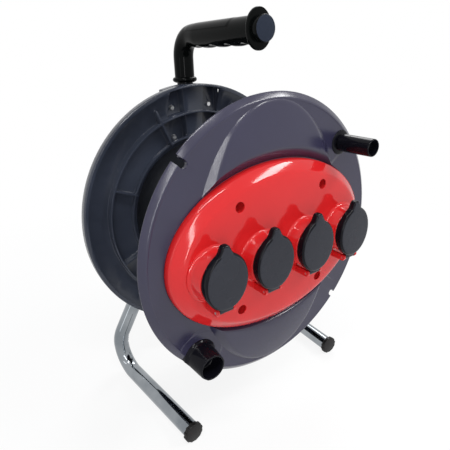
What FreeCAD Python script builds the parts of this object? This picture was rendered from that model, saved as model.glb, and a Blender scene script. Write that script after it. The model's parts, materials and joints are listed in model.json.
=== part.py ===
import FreeCAD, Part
import math
import os
import re

import Sketcher

# Empty cable reel on a bent tube stand. Every length is in millimetres.
# Each sub-part is drawn round the drum axis: x to the right, y back from a plane just behind
# the skin of the front flange, z up from the axis. The last step lifts it onto the floor.

SIZES = {
    # overall
    "flange_radius": 145.0,
    "rear_radius": 145.5,
    "flange_gap": 123.3,
    "axis_height": 200.0,
    "knob_reach": 46.0,
    "rear_reach": 160.0,
    "skin": 2.8,
    # front flange
    "flange_depth": 9.0,
    "rim_width": 6.5,
    "rim_fall": 4.2,
    "rim_thickness": 5.8,
    "rim_wall_radius": 138.5,
    "rim_wall_end": 5.0,
    "groove_radius": 136.4,
    "groove_width": 1.2,
    "groove_depth": 0.4,
    "face_front": 5.5,
    "face_level": 4.0,
    "lens_half_width": 80.8,
    "lens_half_height": 133.8,
    "lens_level": 11.0,
    "lens_slope": 14.4,
    "moat_half_width": 122.0,
    "moat_half_height": 90.0,
    "moat_lift": 3.5,
    "well_half_width": 113.0,
    "well_half_height": 75.0,
    "wire_hole_radius": 30.0,
    "notch_radius": 131.5,
    "notch_width": 7.0,
    "notch_angle": 135.0,
    # barrel and hub
    "barrel_radius": 83.5,
    "barrel_rear_gap": 1.5,
    "hub_radius": 19.0,
    "hub_front": 70.0,
    "bush_radius": 13.0,
    "bush_length": 14.0,
    "axle_radius": 8.0,
    "running_gap": 0.05,
    "inlet_radius": 5.75,
    "inlet_depth": 40.0,
    "grommet_radius": 8.0,
    "grommet_lip": 2.5,
    # rear disc
    "web_level": 9.7,
    "rear_rim_depth": 9.0,
    "rib_radius": 115.7,
    "rib_width": 2.2,
    "rib_outer_radius": 131.0,
    "collar_ring_radius": 87.5,
    "panel_half_width": 33.0,
    "panel_level": 15.2,
    "band_top_half_width": 14.0,
    "band_low_half_width": 9.5,
    "band_level": 7.2,
    # stand
    "tube_radius": 9.0,
    "tube_wall": 1.5,
    "tube_plane": 146.0,
    "foot_half_width": 105.0,
    "foot_front": 0.6,
    "corner_half_width": 117.5,
    "foot_right_half_width": 112.0,
    "foot_right_front": 8.0,
    "corner_right_half_width": 121.5,
    "corner_radius": 25.0,
    "knee_half_width": 119.0,
    "knee_height": 49.0,
    "knee_radius": 36.0,
    "leg_end_half_width": 35.0,
    "leg_end_drop": 10.0,
    "cap_radius": 11.0,
    "cap_end": 5.0,
    "cap_stem": 16.0,
    "post_end_rise": 26.0,
    "clamp_margin": 6.7,
    "clamp_screw_half_x": 24.3,
    "clamp_screw_half_z": 16.3,
    "leg_screw_half_x": 15.0,
    "leg_clamp_half_length": 12.0,
    "top_clamp_rise": 104.8,
    "leg_clamp_radius": 102.0,
    # handle
    "grip_height": 193.8,
    "grip_front": 6.8,
    "grip_half_width": 12.2,
    "grip_half_height": 12.4,
    "grip_sag": 1.0,
    "grip_bend_radius": 22.0,
    "sleeve_radius": 11.0,
    "sleeve_low": 146.5,
    "guard_half_width": 13.6,
    "guard_half_height": 17.3,
    "guard_depth": 4.0,
    "end_cap_radius": 10.9,
    "cap_stand_off": 7.6,
    "finger_pitch": 24.5,
    "finger_radius": 16.0,
    "finger_depth": 2.6,
    # socket cover
    "cover_half_width": 121.5,
    "cover_half_height": 83.4,
    "cover_level": 20.5,
    "cover_wall": 2.5,
    "screw_half_x": 51.5,
    "screw_high": 53.3,
    "screw_low": 50.2,
    "screw_well_radius": 4.8,
    "screw_shank_radius": 2.1,
    "screw_head_radius": 4.3,
    # sockets and lids
    "socket_pitch": 54.46,
    "well_radius": 19.5,
    "well_depth": 17.5,
    "insert_radius": 21.4,
    "insert_level": 34.2,
    "pin_half_pitch": 9.5,
    "contact_radius": 2.5,
    "fit_gap": 0.15,
    "collar_wall": 1.3,
    "lid_half_width": 22.0,
    "lid_half_height": 26.5,
    "lid_level": 42.0,
    "lid_height": 7.0,
    "lid_skin": 2.4,
    "hinge_level": 35.0,
    "hinge_drop": 29.0,
    "hinge_pin_radius": 1.2,
    "knuckle_radius": 2.9,
    "knuckle_half_width": 7.0,
    "lug_width": 3.0,
    "nose_rise": 33.5,
    # winding knob and plug holder
    "crank_radius": 126.0,
    "crank_angle": 43.5,
    "knob_radius": 9.0,
    "knob_bore": 7.6,
    "spigot_radius": 5.5,
    "spigot_reach": 31.0,
    "spigot_foot": 1.8,
    "holder_radius": 131.0,
    "holder_angle": 225.0,
    "holder_end_radius": 13.0,
    "holder_base_radius": 18.0,
    "holder_bore": 11.3,
    "holder_reach": 28.0,
    "holder_floor": 12.0,
}

SOCKETS = 4
CAVITY_BACK = "flange_depth + 3"
SEAT = "-face_level"
FLOOR = "flange_depth - skin"
FACE = "-face_front"
BACK_SKIN = "skin - face_level"
WEB_FRONT = "flange_gap + web_level"
WEB_BACK = "flange_gap + web_level + skin"
PANEL_FRONT = "flange_gap + panel_level"
PANEL_BACK = "flange_gap + panel_level + 3.5"
BARREL_END = "flange_gap + web_level - barrel_rear_gap"
AXLE_FLANGE_BACK = "flange_gap + web_level + skin + 4"
FRONT_PLANE = "(knob_reach - rear_reach) / 2"

doc = FreeCAD.newDocument("cable_reel")
sheet = doc.addObject("Spreadsheet::Sheet", "Sizes")
for row, (alias, value) in enumerate(SIZES.items(), 1):
    sheet.set("A%d" % row, alias)
    sheet.set("B%d" % row, str(value))
    sheet.setAlias("B%d" % row, alias)
doc.recompute()

V = FreeCAD.Vector
nodes = {}
count = {"piece": 0}


def formula(text):
    """Text with each size name pointed at its cell."""
    def cell(match):
        word = match.group(0)
        return "Sizes." + word if word in SIZES else word
    return re.sub(r"[a-z][a-z_]+", cell, text)


def size(text):
    """Number that a formula of size names gives."""
    result = sheet.evalExpression(formula(text))
    return float(getattr(result, "Value", result))


def add(kind, name):
    """New document object with a name of its own."""
    count["piece"] += 1
    return doc.addObject(kind, "%s_%d" % (name, count["piece"]))


def bind(obj, **formulas):
    for prop, text in formulas.items():
        obj.setExpression(prop.replace("__", "."), formula(text))
    return obj


def cylinder(name, radius, front, back, x="0", z="0"):
    """Cylinder along y between two depths."""
    obj = add("Part::Cylinder", name)
    obj.Placement.Rotation = FreeCAD.Rotation(V(1, 0, 0), -90)
    bind(obj, Radius=radius, Height="(%s) - (%s)" % (back, front))
    return bind(obj, Placement__Base__x=x, Placement__Base__y=front, Placement__Base__z=z)


def cone(name, front_radius, back_radius, front, back, x="0", z="0"):
    """Cone along y, with its two radii at the front and at the back."""
    obj = add("Part::Cone", name)
    obj.Placement.Rotation = FreeCAD.Rotation(V(1, 0, 0), -90)
    bind(obj, Radius1=front_radius, Radius2=back_radius, Height="(%s) - (%s)" % (back, front))
    return bind(obj, Placement__Base__x=x, Placement__Base__y=front, Placement__Base__z=z)


def rod(name, radius, left, right, y, z):
    """Cylinder along x."""
    obj = add("Part::Cylinder", name)
    obj.Placement.Rotation = FreeCAD.Rotation(V(0, 1, 0), 90)
    bind(obj, Radius=radius, Height="(%s) - (%s)" % (right, left))
    return bind(obj, Placement__Base__x=left, Placement__Base__y=y, Placement__Base__z=z)


def box(name, left, right, front, back, low, high):
    obj = add("Part::Box", name)
    bind(obj, Length="(%s) - (%s)" % (right, left), Width="(%s) - (%s)" % (back, front),
         Height="(%s) - (%s)" % (high, low))
    return bind(obj, Placement__Base__x=left, Placement__Base__y=front, Placement__Base__z=low)


def ellipse(name, half_width, half_height, y, z="0"):
    """Upright ellipse that faces along y."""
    obj = add("Part::Ellipse", name)
    wide = size(half_width) >= size(half_height)
    obj.Placement.Rotation = FreeCAD.Rotation(V(1, 0, 0), 90)
    if not wide:
        obj.Placement.Rotation = FreeCAD.Rotation(V(0, 1, 0), -90).multiply(
            FreeCAD.Rotation(V(1, 0, 0), 90))
    long, short = (half_width, half_height) if wide else (half_height, half_width)
    bind(obj, MajorRadius=long, MinorRadius=short)
    return bind(obj, Placement__Base__y=y, Placement__Base__z=z)


def loft(name, sections):
    """Solid through ellipses given as half width, half height, depth and lift."""
    obj = add("Part::Loft", name)
    obj.Sections = [ellipse(name + "_section", *section) for section in sections]
    obj.Solid = True
    obj.Ruled = True
    return obj


def oval(name, half_width, half_height, front, back, z="0"):
    """Straight oval block between two depths."""
    obj = add("Part::Extrusion", name)
    obj.Base = ellipse(name + "_edge", half_width, half_height, front, z)
    obj.DirMode = "Custom"
    obj.Dir = V(0, 1, 0)
    obj.Solid = True
    return bind(obj, LengthFwd="(%s) - (%s)" % (back, front))


def fuse(name, parts, refine=True):
    obj = add("Part::MultiFuse", name)
    obj.Shapes = parts
    obj.Refine = refine
    return obj


def cut(name, base, tools):
    obj = add("Part::Cut", name)
    obj.Base = base
    obj.Tool = tools[0] if len(tools) == 1 else fuse(name + "_tools", tools, False)
    return obj


def group(name, parts):
    obj = add("Part::Compound", name)
    obj.Links = parts
    return obj


def common(name, first, second):
    obj = add("Part::Common", name)
    obj.Base = first
    obj.Tool = second
    return obj


def moved(parts, base=V(), degrees=0.0):
    """Pieces turned about y, counted from +x towards +z, and then shifted."""
    obj = group("moved", parts)
    obj.Placement = FreeCAD.Placement(base, FreeCAD.Rotation(V(0, 1, 0), -degrees))
    return obj


def turned(name, outline):
    """Body turned about the y axis from an outline of radius and depth."""
    body = add("PartDesign::Body", name)
    sketch = body.newObject("Sketcher::SketchObject", name + "_outline")
    plane = [item for item in body.Origin.OriginFeatures if item.Role == "XY_Plane"][0]
    sketch.AttachmentSupport = (plane, [""])
    sketch.MapMode = "FlatFace"
    corners = [V(size(radius), size(depth), 0) for radius, depth in outline]
    last = len(corners)
    for i in range(last):
        sketch.addGeometry(Part.LineSegment(corners[i], corners[(i + 1) % last]), False)
    for i in range(last):
        sketch.addConstraint(Sketcher.Constraint("Coincident", i, 2, (i + 1) % last, 1))
    for i, (radius, depth) in enumerate(outline):
        for kind, axis, text, value in (("DistanceX", -2, radius, corners[i].x),
                                        ("DistanceY", -1, depth, corners[i].y)):
            if value == 0:
                sketch.addConstraint(Sketcher.Constraint("PointOnObject", i, 1, axis))
                continue
            index = sketch.addConstraint(Sketcher.Constraint(kind, -1, 1, i, 1, value))
            sketch.setExpression("Constraints[%d]" % index, formula(text))
    revolution = body.newObject("PartDesign::Revolution", name + "_turn")
    revolution.Profile = sketch
    revolution.ReferenceAxis = (sketch, ["V_Axis"])
    revolution.Angle = 360
    return body


def ring(name, inner, outer, front, back):
    return turned(name, [(inner, front), (outer, front), (outer, back), (inner, back)])


def solid_feature(name, shape):
    obj = add("Part::Feature", name)
    obj.Shape = shape
    return obj


def node(label, obj, x="0", z="0"):
    """Names a finished sub-part and lifts it to its place on the floor."""
    obj.Label = label
    bind(obj, Placement__Base__x=x, Placement__Base__y=FRONT_PLANE, Placement__Base__z="axis_height + " + z)
    nodes[label] = obj
    return obj


def mirrored_offsets(half_x, half_z):
    return [(sx + half_x, sz + half_z) for sx in ("-", "") for sz in ("-", "")]


def socket_x(i):
    return "%.1f * socket_pitch" % (i - (SOCKETS - 1) / 2)


def rounded_path(points, radii):
    """Wire of straight runs with a tangent arc at each inner point."""
    edges = []
    start = points[0]
    for before, corner, after, radius in zip(points, points[1:], points[2:], radii):
        back = (before - corner).normalize()
        ahead = (after - corner).normalize()
        half = back.getAngle(ahead) / 2
        reach = radius / math.tan(half)
        middle = corner + (back + ahead).normalize() * (radius / math.sin(half) - radius)
        edges.append(Part.LineSegment(start, corner + back * reach).toShape())
        edges.append(Part.Arc(corner + back * reach, middle, corner + ahead * reach).toShape())
        start = corner + ahead * reach
    edges.append(Part.LineSegment(start, points[-1]).toShape())
    return Part.Wire(edges)


def swept(path, radius):
    """Round bar along a path."""
    start = path.Edges[0].valueAt(path.Edges[0].FirstParameter)
    along = path.Edges[0].tangentAt(path.Edges[0].FirstParameter)
    section = Part.Wire(Part.makeCircle(radius, start, along))
    return path.makePipeShell([section], True, False)


def tube(path):
    outer = swept(path, size("tube_radius"))
    return outer.cut(swept(path, size("tube_radius - tube_wall")))


# Screw places of the cover, which go on through the flange into the barrel
COVER_SCREWS = [(side + "screw_half_x", height)
                for side in ("-", "") for height in ("screw_high", "-screw_low")]
CRANK = ("crank_radius * cos(crank_angle)", "crank_radius * sin(crank_angle)")
HOLDER = ("holder_radius * cos(holder_angle)", "holder_radius * sin(holder_angle)")


def rim_notch(name, angle):
    """Slot with a round inner end through the rim, for the end of the cable."""
    centre = "notch_radius + notch_width / 2"
    end = cylinder(name, "notch_width / 2", "-lens_level", CAVITY_BACK, x=centre)
    mouth = box(name, centre, "flange_radius + 5", "-lens_level", CAVITY_BACK,
                "-notch_width / 2", "notch_width / 2")
    return moved([fuse(name, [end, mouth])], degrees=angle)


def front_flange():
    groove_in = "groove_radius - groove_width / 2"
    groove_out = "groove_radius + groove_width / 2"
    rim_back = "rim_thickness - face_front"
    disc = turned("flange_disc", [
        ("0", "flange_depth"), ("0", FACE), (groove_in, FACE), (groove_in, "groove_depth - face_front"),
        (groove_out, "groove_depth - face_front"), (groove_out, FACE), ("flange_radius - rim_width", FACE),
        ("flange_radius - 0.6", "rim_fall - face_front"), ("flange_radius", "rim_fall + 0.6 - face_front"),
        ("flange_radius", rim_back), ("rim_wall_radius", rim_back), ("rim_wall_radius", "flange_depth")])
    lens = loft("lens", [("lens_half_width + lens_slope", "lens_half_height + 0.4 * lens_slope", "-3", "0"),
                         ("lens_half_width", "lens_half_height", "-lens_level", "0")])
    # the raised panel falls away towards the rim
    lens = common("lens_in_rim", lens, turned("lens_fall", [
        ("0", "-2"), ("0", "-lens_level"), ("96", "-lens_level"), ("108", "0.4 - lens_level"),
        ("118", "1.4 - lens_level"), ("130", "3.4 - lens_level"), ("138.4", "5.4 - lens_level"),
        ("138.4", "-2")]))
    moat = loft("moat", [("cover_half_width + 0.6", "cover_half_height + 0.6", SEAT, "0"),
                         ("moat_half_width", "moat_half_height", "-lens_level - 1", "moat_lift")])
    well = oval("well", "well_half_width", "well_half_height", "-lens_level - 1", FLOOR)
    hollow = fuse("back_hollow", [
        cylinder("back_hollow_inside", "rim_wall_radius - 2.3", BACK_SKIN, CAVITY_BACK),
        cylinder("back_hollow_behind", "flange_radius + 5", "rim_wall_end", CAVITY_BACK)])
    seat_wall = fuse("seat_walls", [
        cylinder("barrel_seat", "barrel_radius + 3.5", BACK_SKIN + " - 1", "flange_depth"),
        oval("well_wall", "well_half_width + 3", "well_half_height + 3", BACK_SKIN + " - 1",
             "flange_depth")])
    lens_inside = common("lens_inside",
                         oval("lens_inside_edge", "lens_half_width - 3", "lens_half_height - 4.5",
                              "skin - lens_level - 1", BACK_SKIN + " + 1"),
                         turned("lens_inside_fall", [
                             ("0", BACK_SKIN + " + 2"), ("0", "skin - lens_level"),
                             ("95", "skin - lens_level"), ("107", "skin + 0.5 - lens_level"),
                             ("117", "skin + 1.6 - lens_level"),
                             ("128", "skin + 3.5 - lens_level"), ("128", BACK_SKIN + " + 2")]))
    lens_hollow = cut("lens_hollow", lens_inside,
                      [oval("moat_wall", "moat_half_width + 4", "moat_half_height + 4", "-lens_level - 1",
                            BACK_SKIN + " + 3", "moat_lift")])
    shape = fuse("flange_outside", [disc, lens])
    shape = cut("flange_with_moat", shape, [moat])
    shape = cut("flange_shell", shape, [hollow])
    shape = cut("flange_light", shape, [lens_hollow])
    shape = cut("flange_with_well", fuse("flange_with_walls", [shape, seat_wall]), [well])
    holes = [
        cylinder("wire_hole", "wire_hole_radius", "0", CAVITY_BACK),
        cylinder("spigot_hole", "spigot_radius", "-lens_level", CAVITY_BACK, *CRANK),
        cylinder("holder_screw_hole", "screw_shank_radius", "-lens_level", CAVITY_BACK, *HOLDER)]
    holes += [cylinder("screw_hole", "screw_shank_radius + fit_gap", "0", CAVITY_BACK, x, z)
              for x, z in COVER_SCREWS]
    holes += [rim_notch("rim_notch", size("notch_angle") + turn) for turn in (0, 180)]
    return node("front_flange", cut("front_flange", shape, holes))


def barrel():
    """Cup that the cable winds on, open to the front, with the hub inside."""
    inner = "barrel_radius - skin"
    cup = turned("barrel_cup", [
        (inner, "flange_depth"), ("barrel_radius", "flange_depth"), ("barrel_radius", BARREL_END),
        ("bush_radius", BARREL_END), ("bush_radius", "hub_front"), ("hub_radius", "hub_front"),
        ("hub_radius", BARREL_END + " - skin"), (inner, BARREL_END + " - skin")])
    parts = [cup]
    for i in range(6):
        rib = box("hub_rib", "hub_radius - 1", inner + " + 1", BARREL_END + " - 28", BARREL_END + " - 1",
                  "-1.2", "1.2")
        parts.append(moved([rib], degrees=60 * i))
    for x, z in COVER_SCREWS:
        parts.append(cylinder("screw_boss", "9.8", "flange_depth", "flange_depth + 32", x, z))
    wall = cylinder("barrel_limit", "barrel_radius", "flange_depth", BARREL_END)
    boss = rod("inlet_boss", "grommet_radius + 5", "-barrel_radius - 1", "-barrel_radius + 6.5",
               "inlet_depth", "0")
    shape = fuse("barrel_outside", [common("barrel_inside", fuse("barrel_parts", parts), wall), boss])
    tools = [cylinder("pilot", "screw_shank_radius", "flange_depth - 1", "flange_depth + 27", x, z)
             for x, z in COVER_SCREWS]
    tools.append(rod("inlet_hole", "grommet_radius", "-barrel_radius - 3", "-barrel_radius + 9",
                     "inlet_depth", "0"))
    node("barrel", cut("barrel", shape, tools))
    lip = "grommet_radius + grommet_lip"
    grommet = turned("grommet", [
        ("inlet_radius", "-2.7"), (lip, "-2.5"), (lip, "-1"), ("grommet_radius", "-1"),
        ("grommet_radius", "6.5"), (lip, "6.5"), (lip, "8"), ("inlet_radius", "8.2")])
    grommet.Placement.Rotation = FreeCAD.Rotation(V(0, 0, 1), -90)
    grommet.Label = "cable_grommet"
    bind(grommet, Placement__Base__x="-barrel_radius", Placement__Base__z="axis_height",
         Placement__Base__y=FRONT_PLANE + " + inlet_depth")
    nodes["cable_grommet"] = grommet


def hub_pieces():
    bore = "axle_radius + running_gap"
    front_end = "hub_front + bush_length"
    node("hub_bush_front", ring("hub_bush_front", bore, "bush_radius", "hub_front", front_end))
    rear_front = BARREL_END + " - bush_length"
    node("hub_bush_rear", ring("hub_bush_rear", bore, "bush_radius", rear_front, BARREL_END))
    axle = turned("axle", [
        ("0", "hub_front - 14"), ("axle_radius - 1", "hub_front - 14"), ("axle_radius", "hub_front - 13"),
        ("axle_radius", WEB_BACK), ("24", WEB_BACK), ("24", AXLE_FLANGE_BACK), ("0", AXLE_FLANGE_BACK)])
    holes = [cylinder("axle_hole", "2.5", WEB_BACK + " - 1", AXLE_FLANGE_BACK + " + 1", x, z)
             for x, z in mirrored_offsets("12.7", "12.7")]
    node("axle", cut("axle_drilled", axle, holes))
    node("thrust_washer", ring("thrust_washer", "axle_radius + 0.1", "11.6",
                               BARREL_END + " + 0.1", WEB_FRONT))
    node("axle_washer", ring("axle_washer", "axle_radius", "16", "hub_front - 2.2", "hub_front - 0.2"))
    nut = add("Part::Prism", "axle_nut")
    nut.Polygon = 6
    nut.Placement.Rotation = FreeCAD.Rotation(V(1, 0, 0), -90)
    bind(nut, Circumradius="13.8", Height="10", Placement__Base__y="hub_front - 12.2")
    hole = cylinder("nut_hole", "axle_radius", "hub_front - 13", "hub_front")
    node("axle_nut", cut("axle_nut", nut, [hole]))


def rear_disc():
    rim = "rear_radius - 4.5"
    disc = turned("rear_web", [
        ("axle_radius + fit_gap", WEB_FRONT), ("120", WEB_FRONT), (rim + " - 1.5", "flange_gap + 1.6"),
        (rim, "flange_gap"), ("rear_radius - 1", "flange_gap"), ("rear_radius", "flange_gap + 1"),
        ("rear_radius", "flange_gap + rear_rim_depth"), ("rear_radius - 3", "flange_gap + rear_rim_depth"),
        (rim, "flange_gap + 4.5"), ("120", WEB_BACK), ("axle_radius + fit_gap", WEB_BACK)])
    limit = cylinder("rear_limit", "rear_radius", "flange_gap", PANEL_BACK)
    shell = box("panel_box", "-panel_half_width - 3", "panel_half_width + 3", WEB_FRONT, PANEL_BACK,
                "barrel_radius - 2", "rear_radius")
    recess = box("panel_recess", "-panel_half_width", "panel_half_width", "flange_gap - 1", PANEL_FRONT,
                 "barrel_radius + 0.7", "rear_radius")
    recess = common("panel_recess_in_rim", recess,
                    cylinder("recess_limit", "rear_radius - 3", "flange_gap - 2", PANEL_BACK))
    shape = fuse("rear_outside", [disc, common("panel_box_in_rim", shell, limit)])
    shape = cut("rear_open_panel", shape, [recess])
    # band that covers the handle tube, wider at the rim and with sloping sides
    levels = [("flange_gap + band_level", 0.0), (PANEL_FRONT + " + 1", 2.5)]
    low = size("barrel_radius")
    high = size("rear_radius - 1")
    wires = []
    for level, flare in levels:
        wide = size("band_top_half_width") + flare
        narrow = size("band_low_half_width") + flare
        corners = [V(-narrow, size(level), low), V(narrow, size(level), low),
                   V(wide, size(level), high), V(-wide, size(level), high)]
        wires.append(Part.makePolygon(corners + corners[:1]))
    band = common("band_in_rim", solid_feature("band", Part.makeLoft(wires, True, True)),
                  cylinder("band_limit", "rear_radius - 0.5", "flange_gap - 2", PANEL_BACK))
    ring_rib = ring("ring_rib", "rib_radius - rib_width / 2", "rib_radius + rib_width / 2",
                    "flange_gap + 0.7", WEB_FRONT + " + 1")
    over_panel = common("rib_over_panel",
                        ring("deep_rib", "rib_radius - rib_width / 2", "rib_radius + rib_width / 2",
                             "flange_gap + 0.7", PANEL_FRONT + " + 1"),
                        box("rib_limit", "-panel_half_width - 1", "panel_half_width + 1", "flange_gap - 2",
                            PANEL_BACK, "0", "rear_radius"))
    collar = ring("collar_ring", "collar_ring_radius", "collar_ring_radius + rib_width",
                  "flange_gap + 5", WEB_FRONT + " + 1")
    parts = [shape, band, ring_rib, over_panel, collar]
    for i in range(8):
        angle = 22.5 + 45 * i
        reach = "rib_outer_radius" if i in (1, 2) else "rib_radius"
        rib = box("radial_rib", "collar_ring_radius + 1", reach, "flange_gap + 0.7", WEB_FRONT + " + 1",
                  "-rib_width / 2", "rib_width / 2")
        parts.append(moved([rib], degrees=angle))
    shape = fuse("rear_ribbed", parts)
    channel = add("Part::Cylinder", "tube_channel")
    bind(channel, Radius="tube_radius + 0.3", Height="rear_radius", Placement__Base__y="tube_plane",
         Placement__Base__z="collar_ring_radius - 20")
    tools = [channel]
    for x, z, angle in CLAMP_SCREWS:
        hole = cylinder("clamp_hole", "screw_shank_radius + fit_gap", "flange_gap", PANEL_BACK + " + 1", x, z)
        tools.append(hole)
    tools += [cone("hub_countersink", "4.4", "2.5", WEB_FRONT, WEB_FRONT + " + 1.9", x, z)
              for x, z in mirrored_offsets("12.7", "12.7")]
    tools += [cylinder("hub_hole", "2.5", WEB_FRONT + " - 1", PANEL_BACK, x, z)
              for x, z in mirrored_offsets("12.7", "12.7")]
    return node("rear_disc", cut("rear_disc", shape, tools))


# Direction of a leg behind the disc, and the middle of each tube clamp
LEG_RUN = V(size("knee_half_width - leg_end_half_width"), 0, size("axis_height - knee_height - leg_end_drop"))
LEG_TURN = math.degrees(math.atan2(LEG_RUN.x, LEG_RUN.z))


def clamp_places():
    """Middle x and z, turn about y and front face of the three clamps."""
    leg_dir = V(LEG_RUN).normalize()
    end = V(-size("leg_end_half_width"), 0, -size("leg_end_drop"))
    reach = math.sqrt(size("leg_clamp_radius") ** 2 - end.cross(leg_dir).Length ** 2) + end.dot(leg_dir)
    middle = end - leg_dir * reach
    return [("top", 0.0, size("top_clamp_rise"), 0.0, PANEL_BACK),
            ("left", middle.x, middle.z, LEG_TURN, WEB_BACK),
            ("right", -middle.x, middle.z, -LEG_TURN, WEB_BACK)]


def clamp_screw_places():
    """Every screw of the clamps, as x, z and the depth of its clamp's face."""
    places = []
    for name, x, z, turn, front in clamp_places():
        c = math.cos(math.radians(turn))
        s = math.sin(math.radians(turn))
        half_x = size("clamp_screw_half_x" if name == "top" else "leg_screw_half_x")
        half_z = size("clamp_screw_half_z") if name == "top" else 0.0
        for dx, dz in sorted({(sx * half_x, sz * half_z) for sx in (-1, 1) for sz in (-1, 1)}):
            places.append(("%.6f" % (x + dx * c + dz * s), "%.6f" % (z - dx * s + dz * c), front))
    return places


CLAMP_SCREWS = clamp_screw_places()


def tube_clamps():
    """Three clamps that hold the stand's tubes to the rear disc."""
    for name, x, z, turn, front in clamp_places():
        if name == "top":
            wide = "clamp_screw_half_x + clamp_margin"
            long = "clamp_screw_half_z + clamp_margin"
            screws = mirrored_offsets("clamp_screw_half_x", "clamp_screw_half_z")
        else:
            wide = "leg_screw_half_x + clamp_margin"
            long = "leg_clamp_half_length"
            screws = [("-leg_screw_half_x", "0"), ("leg_screw_half_x", "0")]
        block = box("clamp", "-(%s)" % wide, wide, front, "rear_reach - 2", "-(%s)" % long, long)
        channel = add("Part::Cylinder", "clamp_channel")
        bind(channel, Radius="tube_radius", Height="2 * (%s) + 2" % long, Placement__Base__y="tube_plane",
             Placement__Base__z="-(%s) - 1" % long)
        mouth = box("clamp_mouth", "-tube_radius", "tube_radius", front + " - 1", "tube_plane",
                    "-(%s) - 1" % long, long + " + 1")
        sides = (("-(%s) - 1" % wide, "-tube_radius - 3"), ("tube_radius + 3", wide + " + 1"))
        shoulders = [box("clamp_shoulder", left, right, "rear_reach - 9", "rear_reach",
                         "-(%s) - 1" % long, long + " + 1") for left, right in sides]
        pilots = [cylinder("clamp_pilot", "screw_shank_radius", front + " - 1", front + " + 9", px, pz)
                  for px, pz in screws]
        obj = cut("tube_clamp", block, [fuse("clamp_way", [channel, mouth])] + shoulders + pilots)
        obj.Placement.Rotation = FreeCAD.Rotation(V(0, 1, 0), turn)
        node("tube_clamp_" + name, obj, "%.6f" % x, "%.6f" % z)
    screws = []
    for x, z, front in CLAMP_SCREWS:
        sheet_front = PANEL_FRONT if front == PANEL_BACK else WEB_FRONT
        head = cone("clamp_screw_head", "2.2", "3.25", sheet_front + " - 2.4", sheet_front, x, z)
        shank = cylinder("clamp_screw_shank", "screw_shank_radius", sheet_front, front + " + 8", x, z)
        screws.append(fuse("clamp_screw", [head, shank]))
    node("clamp_screws", group("clamp_screws", screws))


def leg_path(side):
    ground = -size("axis_height")
    hand = "right_" if side > 0 else ""
    front = size("foot_%sfront" % hand)
    # the floor run leans so that the cap and the bend both touch the floor
    lean = size("cap_radius - tube_radius") / (size("tube_plane - corner_radius") - front)
    return rounded_path([
        V(side * size("foot_%shalf_width" % hand), front, ground + size("cap_radius")),
        V(side * size("corner_%shalf_width" % hand), size("tube_plane"),
          ground + size("tube_radius") - lean * size("corner_radius")),
        V(side * size("knee_half_width"), size("tube_plane"), ground + size("knee_height")),
        V(side * size("leg_end_half_width"), size("tube_plane"), -size("leg_end_drop"))],
        [size("corner_radius"), size("knee_radius")])


def legs():
    for name, side in (("left", -1), ("right", 1)):
        path = leg_path(side)
        node("leg_" + name, solid_feature("leg", tube(path)))
        start = path.Edges[0].valueAt(path.Edges[0].FirstParameter)
        along = path.Edges[0].tangentAt(path.Edges[0].FirstParameter)
        front = start - along * size("cap_end")
        head = Part.makeCylinder(size("cap_radius"), size("cap_end"), front, along)
        rims = [edge for edge in head.Edges
                if abs(edge.Length - 2 * math.pi * size("cap_radius")) < 0.01]
        rims.sort(key=lambda edge: edge.BoundBox.YMin)
        head = head.makeFillet(1.4, rims[:1])
        stem = Part.makeCylinder(size("tube_radius - tube_wall"), size("cap_stem"), start, along)
        node("foot_cap_" + name, solid_feature("foot_cap", head.fuse(stem)))


def handle_path(low, front):
    """Up behind the disc, round the bend and forward over the drum."""
    return rounded_path([V(0, size("tube_plane"), low), V(0, size("tube_plane"), size("grip_height")),
                         V(0, front, size("grip_height"))], [size("grip_bend_radius")])


def upright_oval(half_width, half_height, depth, height):
    """Closed upright oval that faces along y."""
    edge = Part.Ellipse(V(0, 0, 0), half_height, half_width).toShape()
    turn = FreeCAD.Rotation(V(0, 1, 0), -90).multiply(FreeCAD.Rotation(V(1, 0, 0), 90))
    edge.Placement = FreeCAD.Placement(V(0, depth, height), turn)
    return Part.Wire(edge)


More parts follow.
